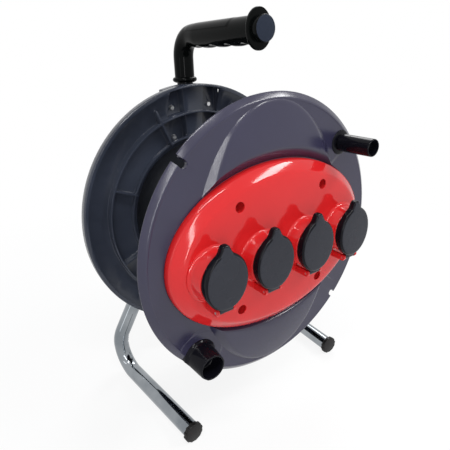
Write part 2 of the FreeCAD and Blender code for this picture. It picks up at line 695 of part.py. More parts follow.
def handle():
    front = size("grip_front + cap_stand_off")
    node("handle_tube", solid_feature("handle_tube", tube(handle_path(size("post_end_rise"), front))))
    # moulded grip: sleeve round the post, bend, and a taller hand part with finger grooves
    hand_back = size("tube_plane - grip_bend_radius - 4")
    guard_back = front + size("guard_depth")
    sleeve = swept(handle_path(size("sleeve_low"), hand_back - 1), size("sleeve_radius"))
    collar = Part.makeTorus(size("sleeve_radius"), 2.7, V(0, size("tube_plane"), size("sleeve_low + 3")))
    middle = size("grip_height - grip_sag")
    hand = Part.makeLoft([
        upright_oval(size("sleeve_radius") - 0.2, size("sleeve_radius"),
                     size("tube_plane - grip_bend_radius") - 1, size("grip_height")),
        upright_oval(size("grip_half_width"), size("grip_half_height"), hand_back - 8, middle),
        upright_oval(size("grip_half_width"), size("grip_half_height"), front, middle)], True, True)
    for i in range(4):
        y = guard_back + 13.4 + size("finger_pitch") * i
        z = middle - size("grip_half_height + finger_radius - finger_depth")
        groove = Part.makeCylinder(size("finger_radius"), 60, V(-30, y, z), V(1, 0, 0))
        hand = hand.cut(groove)
    guard = Part.Face(upright_oval(size("guard_half_width"), size("guard_half_height"), front,
                                   size("grip_height"))).extrude(V(0, size("guard_depth"), 0))
    guard = guard.makeFillet(1.3, [edge for edge in guard.Edges if edge.Length > 4 * size("guard_depth")][:2])
    bore = swept(handle_path(size("post_end_rise"), front - 1), size("tube_radius"))
    grip = sleeve.fuse([collar, hand, guard]).cut(bore)
    node("hand_grip", solid_feature("hand_grip", grip.removeSplitter()))
    plug = turned("grip_cap", [
        ("0", "grip_front"), ("end_cap_radius - 1.3", "grip_front"), ("end_cap_radius", "grip_front + 1.3"),
        ("end_cap_radius", "grip_front + cap_stand_off"),
        ("tube_radius - tube_wall", "grip_front + cap_stand_off"),
        ("tube_radius - tube_wall", "grip_front + cap_stand_off + 14"),
        ("0", "grip_front + cap_stand_off + 14")])
    node("grip_cap", plug, z="grip_height")


def hub_bracket():
    """Moulding behind the disc that joins both legs, the handle tube and the axle."""
    back = "rear_reach"
    parts = [cylinder("bracket_hub", "36", WEB_BACK, back),
             box("bracket_post", "-tube_radius - 5", "tube_radius + 5", WEB_BACK, back, "10", "66")]
    leg_dir = V(LEG_RUN).normalize()
    bores = []
    for side in (-1, 1):
        arm = box("bracket_arm", "-tube_radius - 5", "tube_radius + 5", WEB_BACK, back, "-44", "8")
        arm_end = V(side * size("leg_end_half_width"), 0, -size("leg_end_drop"))
        parts.append(moved([arm], arm_end, side * LEG_TURN))
        end = V(side * size("leg_end_half_width"), size("tube_plane"), -size("leg_end_drop"))
        away = V(side * leg_dir.x, 0, -leg_dir.z)
        bores.append(solid_feature("arm_bore", Part.makeCylinder(size("tube_radius"), 90, end, away)))
    post_bore = add("Part::Cylinder", "post_bore")
    bind(post_bore, Radius="tube_radius", Height="60", Placement__Base__y="tube_plane",
         Placement__Base__z="post_end_rise")
    tools = bores + [post_bore, cylinder("axle_recess", "24", WEB_BACK + " - 1", AXLE_FLANGE_BACK)]
    tools += [cylinder("hub_pilot", "2.5", WEB_BACK, AXLE_FLANGE_BACK + " + 12", x, z)
              for x, z in mirrored_offsets("12.7", "12.7")]
    node("hub_bracket", cut("hub_bracket", fuse("bracket_body", parts), tools))
    bolts = []
    for x, z in mirrored_offsets("12.7", "12.7"):
        head = cone("hub_bolt_head", "4.4", "2.5", WEB_FRONT, WEB_FRONT + " + 1.9", x, z)
        shank = cylinder("hub_bolt_shank", "2.5", WEB_FRONT + " + 1.9", AXLE_FLANGE_BACK + " + 10", x, z)
        bolts.append(fuse("hub_bolt", [head, shank]))
    node("hub_bolts", group("hub_bolts", bolts))


def socket_cover():
    """Red oval cover with a collar and a pair of hinge lugs at each socket."""
    top = "-cover_level"
    outside = loft("cover_outside", [
        ("cover_half_width", "cover_half_height", SEAT, "0"),
        ("cover_half_width", "cover_half_height", SEAT + " - 4", "0"),
        ("cover_half_width - 1", "cover_half_height - 1", SEAT + " - 7.3", "0"),
        ("cover_half_width - 3.6", "cover_half_height - 3.4", top + " + 5.9", "0"),
        ("cover_half_width - 7.4", "cover_half_height - 6.8", top + " + 3.3", "0"),
        ("cover_half_width - 12", "cover_half_height - 11", top + " + 1.5", "0"),
        ("cover_half_width - 26", "cover_half_height - 25", top, "0")])
    inside = loft("cover_inside", [
        ("cover_half_width - cover_wall", "cover_half_height - cover_wall", SEAT + " + 1", "0"),
        ("cover_half_width - cover_wall", "cover_half_height - cover_wall", SEAT + " - 4", "0"),
        ("cover_half_width - 3.8", "cover_half_height - 3.8", SEAT + " - 6.8", "0"),
        ("cover_half_width - 6.6", "cover_half_height - 6.4", top + " + 7.3", "0"),
        ("cover_half_width - 10", "cover_half_height - 9.4", top + " + 5.4", "0"),
        ("cover_half_width - 13.2", "cover_half_height - 12.2", top + " + 4.1", "0"),
        ("cover_half_width - 27.5", "cover_half_height - 26.5", top + " + cover_wall", "0")])
    parts = [cut("cover_shell", outside, [inside])]
    holes = []
    for i in range(SOCKETS):
        x = socket_x(i)
        rim = "insert_radius + fit_gap + collar_wall"
        parts.append(cone("collar", rim, rim + " + 2.4", "0.6 - insert_level", top + " + 2.4", x))
        holes.append(cylinder("socket_hole", "insert_radius + fit_gap", "-lid_level", "flange_depth", x))
        for side in ("-", ""):
            inner = "knuckle_half_width + 0.3"
            outer = "knuckle_half_width + 0.3 + lug_width"
            left, right = (inner, outer) if side == "" else ("-(%s)" % outer, "-(%s)" % inner)
            edges = ["%s + %s" % (x, left), "%s + %s" % (x, right)]
            parts.append(rod("lug_eye", "knuckle_radius + 0.5", edges[0], edges[1],
                             "-hinge_level", "-hinge_drop"))
            parts.append(box("lug", edges[0], edges[1], "-hinge_level", top + " + 2",
                             "-hinge_drop - knuckle_radius - 0.5", "-hinge_drop + knuckle_radius + 0.5"))
        reach = "knuckle_half_width + 0.3 + lug_width + 1"
        holes.append(rod("lug_hole", "hinge_pin_radius", "%s - (%s)" % (x, reach), "%s + %s" % (x, reach),
                         "-hinge_level", "-hinge_drop"))
    for x, z in COVER_SCREWS:
        parts.append(cylinder("screw_post", "screw_well_radius + 2.3", top + " + 2", FLOOR, x, z))
        holes.append(cylinder("screw_well", "screw_well_radius", top + " - 2", "-2", x, z))
        holes.append(cylinder("screw_way", "screw_shank_radius + fit_gap", "-3", "flange_depth", x, z))
    for x, z in CARRIER_SCREWS:
        parts.append(cylinder("carrier_post", "3.3", top + " + 2", "-1", x, z))
        holes.append(cylinder("carrier_pilot", "1.5", "-12", "0", x, z))
    node("socket_cover", cut("socket_cover", fuse("cover_body", parts), holes))
    seal = cut("cover_seal", oval("seal_outside", "cover_half_width - cover_wall - 0.5",
                                  "cover_half_height - cover_wall - 0.5", SEAT + " - 1.8", SEAT),
               [oval("seal_inside", "well_half_width + 1.5", "well_half_height + 1.5", "-10", "0")])
    node("cover_seal", seal)
    screws = []
    for x, z in COVER_SCREWS:
        head = cylinder("cover_screw_head", "screw_head_radius", "-5.5", "-2", x, z)
        cross = [box("cross", x + " - " + a, x + " + " + a, "-6", "-4", z + " - " + b, z + " + " + b)
                 for a, b in (("2.4", "0.5"), ("0.5", "2.4"))]
        shank = cylinder("cover_screw_shank", "screw_shank_radius", "-2", "flange_depth + 25", x, z)
        screws.append(fuse("cover_screw", [cut("cover_screw_drive", head, cross), shank]))
    node("cover_screws", group("cover_screws", screws))


CARRIER_SCREWS = [("%d * socket_pitch" % i, side + "17") for i in (-1, 0, 1) for side in ("-", "")]


def socket_inserts():
    """Four insulating wells with two contact holes and two earth slots each."""
    floor_level = "-(insert_level - well_depth)"
    for i in range(SOCKETS):
        body = turned("insert", [
            ("0", "-2.2"), ("insert_radius", "-2.2"), ("insert_radius", "-13.2"),
            ("insert_radius + 2.6", "-13.2"), ("insert_radius + 2.6", "-16.2"),
            ("insert_radius", "-16.2"), ("insert_radius", "-insert_level"),
            ("well_radius", "-insert_level"), ("well_radius", floor_level), ("0", floor_level)])
        tools = []
        for z in ("-pin_half_pitch", "pin_half_pitch"):
            tools.append(cylinder("pin_hole", "contact_radius", floor_level + " - 1", "0", "0", z))
            tools.append(cylinder("sleeve_hole", "contact_radius + 1.2", "-11.3", "0", "0", z))
        for left, right in (("-20.7", "-19.3"), ("19.3", "20.7")):
            tools.append(box("earth_slot", left, right, "2 - insert_level", "0", "-2.6", "2.6"))
        node("socket_insert_%d" % (i + 1), cut("socket_insert", body, tools), socket_x(i))


def contact_rails():
    """Line, neutral and earth rails that join the four sockets, and their carrier."""
    reach = "1.5 * socket_pitch + 9"
    for name, z in (("line_rail", "pin_half_pitch"), ("neutral_rail", "-pin_half_pitch")):
        strip = box(name, "-(%s)" % reach, reach, "-2.1", "-1.1", z + " - 4", z + " + 4")
        sleeves = [cylinder("sleeve", "contact_radius + 1.1", "-11.2", "-1.2", socket_x(i), z)
                   for i in range(SOCKETS)]
        bores = [cylinder("sleeve_bore", "contact_radius", "-12", "0", socket_x(i), z)
                 for i in range(SOCKETS)]
        node(name, cut(name, fuse(name, [strip] + sleeves), bores))
    parts = [box("earth_strip", "-1.5 * socket_pitch - 20.5", "1.5 * socket_pitch + 20.5",
                 "-2.1", "-1.1", "-3", "3")]
    for i in range(SOCKETS):
        for left, right in (("-20.5", "-19.6"), ("19.6", "20.5")):
            parts.append(box("earth_clip", "%s + %s" % (socket_x(i), left), "%s + %s" % (socket_x(i), right),
                             "3 - insert_level", "-1.2", "-2", "2"))
    node("earth_rail", fuse("earth_rail", parts))
    plate = box("carrier_plate", "-1.5 * socket_pitch - 24", "1.5 * socket_pitch + 24",
                "-1", "3", "-21", "21")
    holes = [cylinder("carrier_hole", "1.5 + fit_gap", "-2", "4", x, z) for x, z in CARRIER_SCREWS]
    node("rail_carrier", cut("rail_carrier", plate, holes))
    screws = [fuse("carrier_screw", [cylinder("carrier_head", "3", "3", "4.8", x, z),
                                     cylinder("carrier_shank", "1.5", "-11", "3", x, z)])
              for x, z in CARRIER_SCREWS]
    node("carrier_screws", group("carrier_screws", screws))
    block = box("terminal_block", "-16", "16", "3", "16", "-10", "10")
    ways = [cylinder("terminal_way", "2.2", "9", "17", x, "4") for x in ("-10", "0", "10")]
    threads = [cylinder("terminal_thread", "1.8", "11", "17", x, "-4") for x in ("-10", "0", "10")]
    node("terminal_block", cut("terminal_block", block, ways + threads))
    node("terminal_screws", group("terminal_screws", [cylinder("terminal_screw", "1.8", "11", "15.5", x, "-4")
                                                      for x in ("-10", "0", "10")]))


def lid_parts():
    """Sprung oval lids with a lifting nose above and a hinge knuckle below."""
    back = "lid_height - lid_level"
    seal_in = "well_radius - 1.7"
    seal_out = "well_radius + 0.8"
    for i in range(SOCKETS):
        x = socket_x(i)
        disc = loft("lid_disc", [
            ("lid_half_width", "lid_half_height", back, "0"),
            ("lid_half_width", "lid_half_height", "2.4 - lid_level", "0"),
            ("lid_half_width - 0.6", "lid_half_height - 0.6", "0.9 - lid_level", "0"),
            ("lid_half_width - 2.2", "lid_half_height - 2.2", "-lid_level", "0")])
        nose = cone("lid_nose", "3.6", "4.6", "-lid_level + 1.4", back, z="nose_rise - 4.6")
        nose_web = box("nose_web", "-4.4", "4.4", "-lid_level + 2", back,
                       "lid_half_height - 3", "nose_rise - 4")
        knuckle = rod("knuckle", "knuckle_radius", "-knuckle_half_width", "knuckle_half_width",
                      "-hinge_level", "-hinge_drop")
        tab = box("tab", "-knuckle_half_width", "knuckle_half_width", "-hinge_level - knuckle_radius",
                  "-hinge_level + 1.5", "-hinge_drop", "2 - lid_half_height")
        hollow = cylinder("lid_hollow", seal_in, "lid_skin - lid_level", "0")
        seal_way = cylinder("seal_way", seal_out, back + " - 1.2", "0")
        spring_gap = box("spring_gap", "-2.6", "2.6", "-hinge_level - 2.2", "0",
                         "-hinge_drop - 4", "-hinge_drop + 3.4")
        pin_way = rod("pin_way", "hinge_pin_radius + running_gap", "-9", "9", "-hinge_level", "-hinge_drop")
        body = fuse("lid_body", [disc, nose, nose_web, knuckle, tab])
        node("lid_%d" % (i + 1), cut("lid", body, [hollow, seal_way, spring_gap, pin_way]), x)
        seal = ring("lid_seal", seal_in, seal_out, back + " - 1.2", "-insert_level - 0.1")
        node("lid_seal_%d" % (i + 1), seal, x)
    pins = []
    springs = []
    for i in range(SOCKETS):
        x = socket_x(i)
        reach = "knuckle_half_width + 0.3 + lug_width"
        pins.append(rod("hinge_pin", "hinge_pin_radius", "%s - (%s)" % (x, reach), "%s + %s" % (x, reach),
                        "-hinge_level", "-hinge_drop"))
        coil = rod("coil_outside", "2", x + " - 2.2", x + " + 2.2", "-hinge_level", "-hinge_drop")
        coil = cut("coil", coil,
                   [rod("coil_inside", "1.3", x + " - 3", x + " + 3", "-hinge_level", "-hinge_drop")])
        leg = cylinder("spring_leg", "0.45", "-hinge_level", "-cover_level", x, "1.55 - hinge_drop")
        springs.append(fuse("lid_spring", [coil, leg]))
    node("hinge_pins", group("hinge_pins", pins))
    node("lid_springs", group("lid_springs", springs))


def knob_and_holder():
    spigot = turned("spigot", [
        ("0", "-spigot_reach"), ("spigot_radius", "-spigot_reach"),
        ("spigot_radius", "-spigot_foot - face_front"), ("10.4", "0.5 - spigot_foot - face_front"),
        ("12.6", "-0.5 - face_front"), ("12.6", FACE), ("spigot_radius", FACE),
        ("spigot_radius", BACK_SKIN), ("9", BACK_SKIN), ("9", BACK_SKIN + " + 2.4"),
        ("0", BACK_SKIN + " + 2.4")])
    knob_start = "-spigot_foot - face_front - 0.3"
    seat = cylinder("spigot_pilot", "1.6", "-spigot_reach - 1", "8 - spigot_reach")
    spigot = cut("spigot_drilled", spigot, [seat])
    bind(spigot, Placement__Base__x=CRANK[0], Placement__Base__z=CRANK[1])
    flange = nodes["front_flange"].Shape
    knob_x, knob_z = CRANK
    node("crank_knob", turned("crank_knob", [
        ("spigot_radius + running_gap", knob_start), ("knob_radius - 0.6", knob_start),
        ("knob_radius", knob_start + " - 0.6"),
        ("knob_radius - 0.3", "0.5 - knob_reach"), ("knob_radius - 0.8", "-knob_reach"),
        ("knob_bore", "-knob_reach"), ("knob_bore", "0.3 - spigot_reach"),
        ("spigot_radius + running_gap", "0.3 - spigot_reach")]), knob_x, knob_z)
    node("knob_washer", ring("knob_washer", "1.6", "knob_bore - 0.4", "-spigot_reach - 1", "-spigot_reach"),
         knob_x, knob_z)
    node("knob_screw", turned("knob_screw", [
        ("0", "-spigot_reach - 3.4"), ("2.6", "-spigot_reach - 3.4"), ("3.4", "-spigot_reach - 2.6"),
        ("3.4", "-spigot_reach - 1"), ("1.6", "-spigot_reach - 1"), ("1.6", "7.5 - spigot_reach"),
        ("0", "7.5 - spigot_reach")]), knob_x, knob_z)
    holder = turned("holder_cone", [
        ("0", "rim_fall - 0.2 - face_front"), ("holder_base_radius", "rim_fall - 0.2 - face_front"),
        ("holder_base_radius - 0.6", "-1.5 - face_front"),
        ("holder_end_radius + 1.2", "-5.5 - face_front"), ("holder_end_radius", "-holder_reach"),
        ("holder_bore", "-holder_reach"), ("holder_bore", "-holder_floor"), ("0", "-holder_floor")])
    holder = cut("holder_drilled", holder, [
        cylinder("holder_pilot", "screw_shank_radius", "1.5 - holder_floor", "2")])
    bind(holder, Placement__Base__x=HOLDER[0], Placement__Base__z=HOLDER[1])
    doc.recompute()
    # both stand on the flange, whose own surface is taken out of their feet
    local_flange = nodes["front_flange"].Shape.copy()
    local_flange.translate(V(0, -size(FRONT_PLANE), -size("axis_height")))
    flange_body = solid_feature("flange_surface", local_flange)
    on_flange = cut("crank_spigot", spigot, [flange_body])
    node("crank_spigot", on_flange)
    inside_rim = cylinder("rim_limit", "flange_radius - 0.8", "-holder_reach - 1", "5")
    on_flange = cut("plug_holder", common("holder_in_rim", holder, inside_rim), [flange_body])
    node("plug_holder", on_flange)
    head = turned("holder_screw_head", [
        ("0", "2 - holder_floor"), ("screw_shank_radius", "2 - holder_floor"),
        ("screw_shank_radius", BACK_SKIN), ("4.2", BACK_SKIN),
        ("3.4", BACK_SKIN + " + 2.4"), ("0", BACK_SKIN + " + 2.4")])
    node("holder_screw", head, *HOLDER)


def check_document():
    """Stops unless every object is up to date and every sub-part is a valid solid."""
    doc.recompute()
    for obj in doc.Objects:
        if "Invalid" in obj.State or "Error" in obj.State:
            raise RuntimeError("%s failed: %s" % (obj.Label, obj.State))
    for label, obj in nodes.items():
        shape = obj.Shape
        if shape.isNull() or not shape.isValid() or not shape.Solids:
            raise RuntimeError("%s has no valid solid" % label)


def write_steps():
    os.makedirs("parts", exist_ok=True)
    for label, obj in sorted(nodes.items()):
        obj.Shape.exportStep("parts/%s.step" % label)
        extent = obj.Shape.BoundBox
        print("%-18s solids %2d  volume %9.0f  x %7.1f %7.1f  y %7.1f %7.1f  z %7.1f %7.1f" % (
            label, len(obj.Shape.Solids), obj.Shape.Volume, extent.XMin, extent.XMax,
            extent.YMin, extent.YMax, extent.ZMin, extent.ZMax))


front_flange()
barrel()
hub_pieces()
rear_disc()
tube_clamps()
legs()
handle()
hub_bracket()
socket_cover()
socket_inserts()
contact_rails()
lid_parts()
knob_and_holder()
check_document()
write_steps()
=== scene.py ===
import json
import math

import bmesh
import bpy
from mathutils import Matrix, Vector

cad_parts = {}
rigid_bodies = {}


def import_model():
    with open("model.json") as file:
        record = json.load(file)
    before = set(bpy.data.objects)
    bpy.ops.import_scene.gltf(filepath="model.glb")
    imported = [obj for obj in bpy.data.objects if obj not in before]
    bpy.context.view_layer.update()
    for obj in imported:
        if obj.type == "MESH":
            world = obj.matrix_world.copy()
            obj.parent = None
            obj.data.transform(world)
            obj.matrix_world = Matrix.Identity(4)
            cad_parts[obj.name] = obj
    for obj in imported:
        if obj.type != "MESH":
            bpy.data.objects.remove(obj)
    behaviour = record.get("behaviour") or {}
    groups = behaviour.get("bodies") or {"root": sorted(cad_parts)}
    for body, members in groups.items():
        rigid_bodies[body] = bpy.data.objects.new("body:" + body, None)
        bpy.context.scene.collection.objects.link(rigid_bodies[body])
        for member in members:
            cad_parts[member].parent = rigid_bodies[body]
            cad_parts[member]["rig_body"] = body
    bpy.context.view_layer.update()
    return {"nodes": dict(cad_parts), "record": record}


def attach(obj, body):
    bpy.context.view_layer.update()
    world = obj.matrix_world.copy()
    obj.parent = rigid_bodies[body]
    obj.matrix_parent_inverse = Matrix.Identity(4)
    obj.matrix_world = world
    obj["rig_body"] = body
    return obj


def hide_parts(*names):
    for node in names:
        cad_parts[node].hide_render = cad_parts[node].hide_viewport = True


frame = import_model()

# Lengths below are in millimetres round the drum axis: x to the right, y back from just behind
# the front flange's skin, z up from the axis. to_frame puts a point where the frame has it, in
# metres.
FRONT_SKIN = -57.0
AXIS_HEIGHT = 200.0


def to_frame(x, y, z):
    return Vector((x, y + FRONT_SKIN, z + AXIS_HEIGHT)) / 1000


TO_FRAME = Matrix.Translation(to_frame(0, 0, 0)) @ Matrix.Scale(0.001, 4)


# Finishes

NOISE_SPAN = (0.3, 0.7)
FLOW_SCALE = 9.0
SKIN_SCALE = 1500.0
WEAR_SCALE = 900.0
FRONT_DULLER = 0.16


def new_finish(name):
    """Empty material with its shader, and the tree it is wired in."""
    material = bpy.data.materials.new(name)
    material.use_nodes = True
    tree = material.node_tree
    shader = tree.nodes["Principled BSDF"]
    return material, tree, shader


def grain(tree, scale, detail=4.0, stretch=(1, 1, 1)):
    """Noise on the piece's own coordinates."""
    place = tree.nodes.new("ShaderNodeTexCoord")
    mapping = tree.nodes.new("ShaderNodeMapping")
    mapping.inputs["Scale"].default_value = stretch
    noise = tree.nodes.new("ShaderNodeTexNoise")
    noise.inputs["Scale"].default_value = scale
    noise.inputs["Detail"].default_value = detail
    tree.links.new(place.outputs["Object"], mapping.inputs["Vector"])
    tree.links.new(mapping.outputs["Vector"], noise.inputs["Vector"])
    return noise


def tone_between(tree, noise, low, high):
    """Colour that goes from low to high with the noise."""
    node = tree.nodes.new("ShaderNodeValToRGB")
    for element, place, colour in zip(node.color_ramp.elements, NOISE_SPAN, (low, high)):
        element.position = place
        element.color = (*colour, 1)
    tree.links.new(noise.outputs["Fac"], node.inputs["Fac"])
    return node.outputs["Color"]


def value_between(tree, noise, low, high):
    """Value that goes from low to high with the noise."""
    node = tree.nodes.new("ShaderNodeMapRange")
    for name, value in zip(("From Min", "From Max", "To Min", "To Max"), (*NOISE_SPAN, low, high)):
        node.inputs[name].default_value = value
    tree.links.new(noise.outputs["Fac"], node.inputs["Value"])
    return node.outputs["Result"]


def bumped(tree, shader, noise, depth_mm):
    bump = tree.nodes.new("ShaderNodeBump")
    bump.inputs["Distance"].default_value = depth_mm / 1000
    tree.links.new(noise.outputs["Fac"], bump.inputs["Height"])
    tree.links.new(bump.outputs["Normal"], shader.inputs["Normal"])


def blended_colour(tree, share, first, second):
    """First colour where share is 0, second where it is 1."""
    mix = tree.nodes.new("ShaderNodeMix")
    mix.data_type = "RGBA"
    for slot, source in ((0, share), (6, first), (7, second)):
        tree.links.new(source, mix.inputs[slot])
    return mix.outputs[2]


def moulded_plastic(name, colour, shade, rough, skin_depth=0.02, gloss=0.3, coat=0.0, face=None):
    """Injection-moulded plastic: faint flow patches, fine skin texture and uneven gloss. face is the
    colour of the textured faces that a piece marks as its front: lighter and bluer than colour, it
    is a painted reflection of the bright room in front, and those faces are also made rougher like
    satin."""
    material, tree, shader = new_finish(name)
    flow = grain(tree, FLOW_SCALE, 3.0, (1.0, 0.6, 1.4))
    tone = tone_between(tree, flow, [c * shade for c in colour], colour)
    dull = value_between(tree, grain(tree, FLOW_SCALE * 7, 5.0), *rough)
    # Marked front faces: a real rougher satin texture, and the lighter face colour as a painted
    # reflection.
    if face:
        satin_and_sheen_mask = tree.nodes.new("ShaderNodeAttribute")
        satin_and_sheen_mask.attribute_name = "front"
        satin_tone_and_painted_sheen = tone_between(tree, flow, [c * shade for c in face], face)
        tone = blended_colour(tree, satin_and_sheen_mask.outputs["Fac"], tone, satin_tone_and_painted_sheen)
        rougher = tree.nodes.new("ShaderNodeMath")
        rougher.operation = "MULTIPLY_ADD"
        rougher.inputs[1].default_value = FRONT_DULLER
        tree.links.new(satin_and_sheen_mask.outputs["Fac"], rougher.inputs[0])
        tree.links.new(dull, rougher.inputs[2])
        dull = rougher.outputs[0]
    tree.links.new(tone, shader.inputs["Base Color"])
    tree.links.new(dull, shader.inputs["Roughness"])
    bumped(tree, shader, grain(tree, SKIN_SCALE, 2.0), skin_depth)
    shader.inputs["Specular IOR Level"].default_value = gloss
    shader.inputs["Coat Weight"].default_value = coat
    shader.inputs["Coat Roughness"].default_value = 0.06
    return material


def polished_tube(name):
    """Chromed steel tube with fine drawing lines and faint haze."""
    material, tree, shader = new_finish(name)
    shader.inputs["Metallic"].default_value = 1.0
    tone = tone_between(tree, grain(tree, 30.0), (0.19, 0.21, 0.23), (0.33, 0.35, 0.37))
    tree.links.new(tone, shader.inputs["Base Color"])
    lines = grain(tree, 260.0, 3.0, (6.0, 0.35, 0.35))
    tree.links.new(value_between(tree, lines, 0.04, 0.10), shader.inputs["Roughness"])
    bumped(tree, shader, grain(tree, 40.0, 2.0), 0.25)
    return material


def bare_metal(name, colour, rough):
    """Plated or turned metal with slight stains and wear."""
    material, tree, shader = new_finish(name)
    shader.inputs["Metallic"].default_value = 1.0
    tone = tone_between(tree, grain(tree, 120.0), [c * 0.75 for c in colour], colour)
    tree.links.new(tone, shader.inputs["Base Color"])
    wear = grain(tree, WEAR_SCALE, 3.0)
    tree.links.new(value_between(tree, wear, *rough), shader.inputs["Roughness"])
    bumped(tree, shader, wear, 0.02)
    return material


PLASTICS = {
    "flange_grey": dict(colour=(0.029, 0.027, 0.058), shade=0.84, rough=(0.17, 0.26), gloss=0.5),
    "barrel_black": dict(colour=(0.011, 0.012, 0.015), shade=0.8, rough=(0.3, 0.42)),
    "disc_black": dict(colour=(0.038, 0.045, 0.066), shade=0.7, rough=(0.15, 0.25), gloss=0.4),
    "cover_red": dict(colour=(0.62, 0.016, 0.018), shade=0.93, rough=(0.08, 0.13), skin_depth=0.006,
                      coat=0.12),
    # face on lid_black and grip_black is a painted reflection: a lighter, bluer colour for the front
    # faces.
    "lid_black": dict(colour=(0.005, 0.005, 0.008), shade=0.8, rough=(0.08, 0.15), skin_depth=0.008,
                      gloss=0.12, face=(0.032, 0.034, 0.043)),
    "insert_black": dict(colour=(0.02, 0.02, 0.022), shade=0.8, rough=(0.4, 0.5)),
    "grip_black": dict(colour=(0.003, 0.0035, 0.0035), shade=0.8, rough=(0.08, 0.15),
                       skin_depth=0.01, gloss=0.05, face=(0.024, 0.030, 0.046)),
    "tube_black": dict(colour=(0.005, 0.005, 0.007), shade=0.8, rough=(0.12, 0.2), skin_depth=0.01,
                       gloss=0.12),
    "cap_rubber": dict(colour=(0.008, 0.007, 0.007), shade=0.7, rough=(0.36, 0.5), skin_depth=0.04,
                       gloss=0.25),
    "seal_rubber": dict(colour=(0.02, 0.02, 0.021), shade=0.7, rough=(0.55, 0.7), skin_depth=0.05),
    "bearing_nylon": dict(colour=(0.75, 0.72, 0.62), shade=0.9, rough=(0.4, 0.5)),
    "bracket_black": dict(colour=(0.016, 0.018, 0.022), shade=0.8, rough=(0.35, 0.5)),
    "carrier_board": dict(colour=(0.20, 0.10, 0.05), shade=0.8, rough=(0.5, 0.6)),
}
METALS = {
    "zinc_steel": dict(colour=(0.80, 0.81, 0.82), rough=(0.25, 0.4)),
    "axle_steel": dict(colour=(0.6, 0.61, 0.63), rough=(0.3, 0.45)),
    "contact_brass": dict(colour=(0.80, 0.58, 0.25), rough=(0.2, 0.35)),
}
FINISH = {"tube_chrome": polished_tube("tube_chrome")}
FINISH.update({name: moulded_plastic(name, **look) for name, look in PLASTICS.items()})
FINISH.update({name: bare_metal(name, **look) for name, look in METALS.items()})
SLOTS = {part["node"]: part["material_slot"] for part in frame["record"]["subparts"]}


def dress_frame():
    """Gives every CAD node the finish of its slot in the record."""
    for node, slot in SLOTS.items():
        mesh = frame["nodes"][node].data
        mesh.materials.clear()
        mesh.materials.append(FINISH[slot])


# Shaping


def sleeve(rows, segments, ends):
    """Skin through closed rows, each a rule that gives the point at an angle. ends is filled,
    joined or open."""
    bm = bmesh.new()
    bmesh.ops.create_circle(bm, radius=1.0, segments=segments)
    first = bm.edges[:]
    edges = first
    for _ in rows[1:]:
        grown = bmesh.ops.extrude_edge_only(bm, edges=edges)["geom"]
        fresh = [item for item in grown if isinstance(item, bmesh.types.BMVert)]
        edges = [item for item in grown if isinstance(item, bmesh.types.BMEdge)]
        bmesh.ops.translate(bm, vec=(0, 0, 1), verts=fresh)
    for vert in bm.verts:
        vert.co = rows[round(vert.co.z)](math.atan2(vert.co.y, vert.co.x))
    if ends == "filled":
        bmesh.ops.contextual_create(bm, geom=first)
        bmesh.ops.contextual_create(bm, geom=edges)
    if ends == "joined":
        bmesh.ops.bridge_loops(bm, edges=first + edges)
    bmesh.ops.recalc_face_normals(bm, faces=bm.faces)
    return bm


def oval(half_width, half_height, depth, lift=0.0):
    """Row round an upright oval at one depth."""
    return lambda angle: (half_width * math.cos(angle), depth, half_height * math.sin(angle) + lift)


def oval_bar(half_width, half_height, front, back, steps, lift=0.0):
    """Upright oval bar along y."""
    rows = [oval(half_width, half_height, depth, lift) for depth in (front, back)]
    return sleeve(rows, steps, "filled")


def turned(outline, steps=128):
    """Body turned about the drum axis from corners given as radius, depth and rounding."""
    bm = bmesh.new()
    corners = [bm.verts.new((radius, depth, 0)) for radius, depth, rounding in outline]
    for start, end in zip(corners, corners[1:]):
        bm.edges.new((start, end))
    if outline[0][0] > 0:
        bm.edges.new((corners[-1], corners[0]))
    for corner, (radius, depth, rounding) in zip(corners, outline):
        if rounding:
            bmesh.ops.bevel(bm, geom=[corner], offset=rounding, offset_type="OFFSET", segments=3,
                            profile=0.5, affect="VERTICES", material=-1)
    bmesh.ops.spin(bm, geom=bm.verts[:] + bm.edges[:], cent=(0, 0, 0), axis=(0, 1, 0),
                   angle=2 * math.pi, steps=steps, use_merge=True)
    bmesh.ops.remove_doubles(bm, verts=bm.verts, dist=0.001)
    bmesh.ops.recalc_face_normals(bm, faces=bm.faces)
    return bm


def bar(radius, front, back, x=0.0, z=0.0, steps=64):
    """Round bar along y."""
    bm = bmesh.new()
    middle = Matrix.Translation((x, (front + back) / 2, z))
    turn = Matrix.Rotation(math.radians(-90), 4, "X")
    bmesh.ops.create_cone(bm, cap_ends=True, segments=steps, radius1=radius, radius2=radius,
                          depth=back - front, matrix=middle @ turn)
    return bm


def rod(radius, left, right, y, z, steps=32):
    """Round bar along x."""
    bm = bmesh.new()
    middle = Matrix.Translation(((left + right) / 2, y, z))
    turn = Matrix.Rotation(math.radians(90), 4, "Y")
    bmesh.ops.create_cone(bm, cap_ends=True, segments=steps, radius1=radius, radius2=radius,
                          depth=right - left, matrix=middle @ turn)
    return bm


def block(left, right, front, back, low, high, rounding=0.0):
    """Upright block between those sides, its edges rounded."""
    bm = bmesh.new()
    middle = Matrix.Translation(((left + right) / 2, (front + back) / 2, (low + high) / 2))
    size = Matrix.Diagonal((right - left, back - front, high - low, 1))
    bmesh.ops.create_cube(bm, size=1.0, matrix=middle @ size)
    if rounding:
        bmesh.ops.bevel(bm, geom=bm.edges[:], offset=rounding, offset_type="OFFSET", segments=3,
                        profile=0.5, affect="EDGES", material=-1)
    return bm


def moved(bm, matrix):
    bmesh.ops.transform(bm, matrix=matrix, verts=bm.verts)
    return bm


def shifted(bm, x=0.0, y=0.0, z=0.0):
    return moved(bm, Matrix.Translation((x, y, z)))


def joined(parts):
    """One mesh from several, which are used up."""
    whole = bmesh.new()
    for part in parts:
        loose = bpy.data.meshes.new("loose")
        part.to_mesh(loose)
        part.free()
        whole.from_mesh(loose)
        bpy.data.meshes.remove(loose)
    return whole


